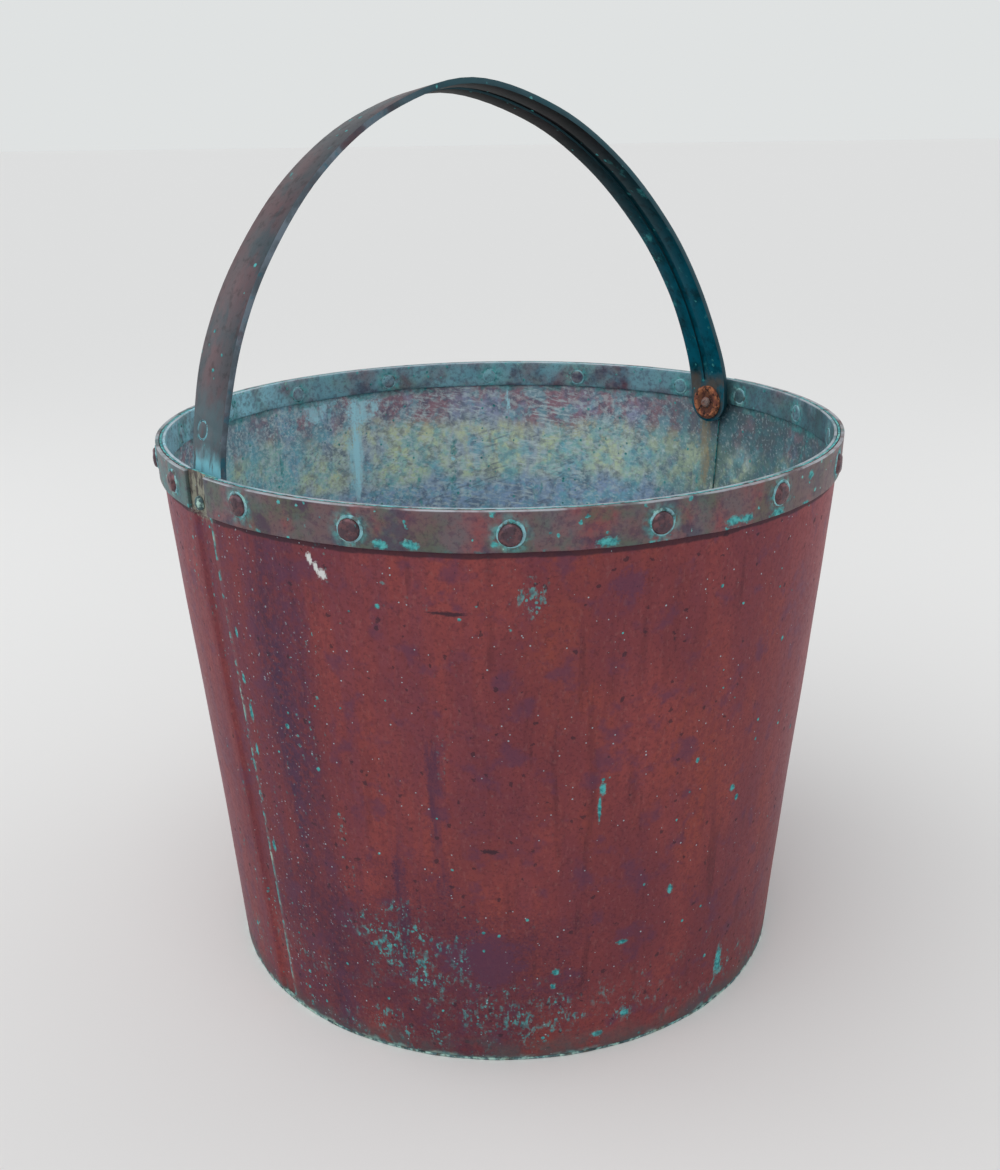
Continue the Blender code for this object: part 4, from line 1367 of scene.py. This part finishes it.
@dataclass
class Base:
    """The disc that the wall stands on, its edge crusted and a little uneven."""

    thickness: float = 0.0016
    edge: float = 0.0004
    crusted: float = 0.004

    def build(self, finishes: Finishes) -> None:
        """Cut the disc, round its edge and dress it."""
        clear_selection()
        middle = (0.0, 0.0, self.thickness / 2.0)
        bpy.ops.mesh.primitive_cylinder_add(
            vertices=240, radius=WALL.base_radius, depth=self.thickness, location=middle)
        item = name_new("base_disc")
        settle(item, item.matrix_world.copy())
        open_where(item, Part.FACES, lambda face: abs(face.normal.z) > 0.5)
        for width in (self.crusted, 0.012, 0.05, 0.05, 0.05):
            bpy.ops.mesh.inset(thickness=width)
        close(item)
        for vertex in item.data.vertices:
            at = vertex.co
            radius = math.hypot(at.x, at.y)
            rim = ease(radius, WALL.base_radius - 0.003, WALL.base_radius)
            wave = noise.noise(at * 40.0) + 0.6 * noise.noise(at * 130.0)
            grow = 1.0 + rim * self.edge * wave / WALL.base_radius
            vertex.co = Vector((at.x * grow, at.y * grow, at.z))
        bevel(item, self.edge, 50.0)
        item.data.materials.append(finishes.foot)
        item.data.materials.append(finishes.wall_inside)
        inner = WALL.base_radius - self.crusted
        for face in item.data.polygons:
            if face.normal.z > 0.5 and math.hypot(face.center.x, face.center.y) < inner:
                face.material_index = 1
        smooth(item)
        place(item, ["base"], "base_copper")


@dataclass
class Bail:
    """The strap bail, its flush rivet, and the rivets, washers and spacers that it turns on."""

    lean: float = 3.5
    strap_edge: float = 0.00045
    fine_edge: float = 0.0002

    def frame(self) -> Matrix:
        """Give the bail's own frame: X along the axis, Y across the strap, Z up its plane."""
        turn = Matrix.Rotation(math.atan2(HINGE.axis[1], HINGE.axis[0]), 4, "Z")
        lean = Matrix.Rotation(math.radians(-self.lean), 4, "X")
        return Matrix.Translation(HINGE.middle) @ turn @ lean

    def paint(self, item: bpy.types.Object, finishes: Finishes) -> None:
        """Give the outer face, the inner face and the edges their own finish."""
        for finish in (finishes.bail_outside, finishes.bail_inside, finishes.bail_edge):
            item.data.materials.append(finish)
        home = self.frame().inverted()
        turn = home.to_3x3()
        for face in item.data.polygons:
            normal = turn @ face.normal
            at = home @ face.center
            outward = Vector((at.x, 0.0, max(at.z, 0.0)))
            # edge faces take bail_edge: worn, with a painted highlight
            if abs(normal.y) > 0.6:
                face.material_index = 2
            # inward faces take the near-black painted shade of bail_inside
            elif normal.dot(outward) < 0.0:
                face.material_index = 1

    def strap(self, finishes: Finishes) -> None:
        """Dress the strap."""
        item = copy_of_node("arched_strap", "bail_strap")
        self.paint(item, finishes)
        # the bevelled edges take bail_edge, worn and lightened as a painted highlight
        bevel(item, self.strap_edge, 40.0, material=2)
        smooth(item, 32.0)
        place(item, ["bail_strap"], "bail_copper", Body.BAIL)
        plug = copy_of_node("flush_rivet", "bail_plug_rivet")
        bevel(plug, self.fine_edge, 50.0)
        plug.data.materials.append(finishes.bail_outside)
        smooth(plug)
        place(plug, ["bail_plug_rivet"], "bail_copper", Body.BAIL)

    def pivot(self, side: str, finishes: Finishes) -> None:
        """Dress one pivot's rivet, washer and spacer."""
        for kind, finish, depth in (
            ("rivet", finishes.iron if side == "right" else finishes.crusted_iron, 0.0005),
            ("washer", finishes.rust, 0.0007),
            ("spacer", finishes.iron, 0.0002),
        ):
            node = f"pivot_{kind}_{side}"
            item = copy_of_node(f"turned_{kind}_{side}", node)
            bevel(item, self.fine_edge, 50.0)
            shape_with(item, "SUBSURF", levels=1, render_levels=1, subdivision_type="SIMPLE")
            weather(item, depth, 0.004)
            item.data.materials.append(finish)
            smooth(item, 45.0)
            place(item, [node], "rusty_iron" if kind == "washer" else "pivot_iron")

    def build(self, finishes: Finishes) -> None:
        """Dress the bail and both pivots."""
        self.strap(finishes)
        for side in ("left", "right"):
            self.pivot(side, finishes)


@dataclass
class Studio:
    """Pale floor, soft light and the camera."""

    floor_colour: tuple = (0.80, 0.79, 0.77, 1.0)
    backdrop: tuple = (0.74, 0.76, 0.76, 1.0)
    daylight: tuple = (0.93, 0.96, 1.0, 1.0)
    brightness: float = 0.62
    floor_drop: float = 0.0002
    aim: tuple = (0.0, 0.0, 0.2)
    eye: tuple = (0.01991, -0.81145, 0.52290)
    pitch: float = 0.3408
    yaw: float = -0.0259
    roll: float = -0.0134
    lens: float = 46.085

    def floor(self) -> None:
        """Lay the floor."""
        clear_selection()
        under = (0.0, 0.0, -self.floor_drop)
        bpy.ops.mesh.primitive_circle_add(vertices=96, radius=60.0, fill_type="NGON", location=under)
        floor = name_new("floor")
        material = bpy.data.materials.new("studio_floor")
        material.use_nodes = True
        shader = material.node_tree.nodes["Principled BSDF"]
        shader.inputs["Base Color"].default_value = self.floor_colour
        shader.inputs["Roughness"].default_value = 0.9
        floor.data.materials.append(material)

    def world(self) -> None:
        """Fill the world with even light, and show a pale backdrop to the camera and in reflections."""
        world = bpy.data.worlds.new("studio")
        bpy.context.scene.world = world
        world.use_nodes = True
        board = Board(world.node_tree)
        light = world.node_tree.nodes["Background"]
        board.join(light.inputs["Color"], self.daylight)
        board.join(light.inputs["Strength"], self.brightness)
        shown = board.out("ShaderNodeBackground", {"Color": self.backdrop, "Strength": 1.0})
        path = board.node("ShaderNodeLightPath").outputs
        seen, mirrored, through = (
            Signal(board, path[f"Is {kind} Ray"]) for kind in ("Camera", "Glossy", "Transmission")
        )
        lit = Signal(board, light.outputs[0])
        mixed = board.out("ShaderNodeMixShader", {0: seen | mirrored | through, 1: lit, 2: shown})
        board.join(world.node_tree.nodes["World Output"].inputs[0], mixed)

    def lamp(self, name: str, kind: str, at: Sequence[float], ahead: Vector, power: float) -> bpy.types.Light:
        """Hang one soft light.

        Args:
            name: Its name.
            kind: Its type.
            at: Its place.
            ahead: The direction that it shines in.
            power: Its power.

        Returns:
            The light's data.
        """
        clear_selection()
        turn = ahead.to_track_quat("-Z", "Y").to_euler()
        bpy.ops.object.light_add(type=kind, location=at, rotation=turn)
        lamp = bpy.context.object
        lamp.name = name
        lamp.data.energy = power
        return lamp.data

    def camera(self) -> None:
        """Stand the camera where the picture was taken from."""
        pitch, yaw, roll = self.pitch, self.yaw, self.roll
        ahead = Vector((math.sin(yaw) * math.cos(pitch), math.cos(yaw) * math.cos(pitch), -math.sin(pitch)))
        level = Vector((math.cos(yaw), -math.sin(yaw), 0.0))
        above = level.cross(ahead)
        right = math.cos(roll) * level + math.sin(roll) * above
        up = math.cos(roll) * above - math.sin(roll) * level
        turn = Matrix((right, up, -ahead)).transposed().to_4x4()
        clear_selection()
        bpy.ops.object.camera_add()
        camera = bpy.context.object
        camera.name = "picture_camera"
        camera.matrix_world = Matrix.Translation(self.eye) @ turn
        camera.data.sensor_fit = "HORIZONTAL"
        camera.data.sensor_width = 36.0
        camera.data.lens = self.lens
        camera.data.clip_start = 0.01
        camera.data.clip_end = 50.0
        bpy.context.scene.camera = camera

    def build(self) -> None:
        """Set up the studio."""
        self.floor()
        self.world()
        sky = self.lamp("soft_sky", "SUN", (0.0, 0.0, 3.0), Vector((0.35, 0.45, -1.0)), 1.15)
        sky.angle = math.radians(70.0)
        for name, at, power in (
            ("left_window", (-1.7, 0.5, 0.9), 3.5), ("right_window", (1.7, 0.6, 0.9), 2.5),
        ):
            window = self.lamp(name, "AREA", at, Vector(self.aim) - Vector(at), power)
            window.size = 1.0
        self.camera()
        bpy.context.scene.view_settings.view_transform = "Standard"


def build_hoops(finishes: Finishes, rivets: Rivets) -> None:
    """Roll the four half hoops of the rim."""
    outer, inner = rivets.outer_hoop, rivets.inner_hoop
    outside = (WALL.gap, outer, 0.0220)
    inside = (-(WALL.sheet + WALL.gap + inner), inner, 0.0183)
    for name, node, side, start, end, section, finish in (
        ("front_hoop", "outer_band_front", "front", -46.8, 127.4, outside, finishes.hoop_outside),
        ("back_hoop", "outer_band_back", "back", 133.2, 307.4, outside, finishes.hoop_outside),
        ("inner_hoop_front", "inner_band_front", "front", -44.5, 129.2, inside, finishes.hoop_inside),
        ("inner_hoop_back", "inner_band_back", "back", 136.3, 306.5, inside, finishes.hoop_inside),
    ):
        places = [place[1:] for place in rivets.places(side)]
        Hoop(name, node, start, end, *section, places).build(finish)


def main() -> None:
    """Build every piece of the bucket and the studio round it."""
    logging.basicConfig(level=logging.INFO, format="%(name)s: %(message)s")
    finishes = Finishes()
    rivets = Rivets()
    WallSheet("front_sheet", "body_sheet_front", True).build(finishes)
    WallSheet("back_sheet", "body_sheet_back", False).build(finishes)
    Base().build(finishes)
    build_hoops(finishes, rivets)
    rivets.build(finishes)
    Bail().build(finishes)
    Studio().build()
    clear_selection()


if __name__ == "__main__":
    main()
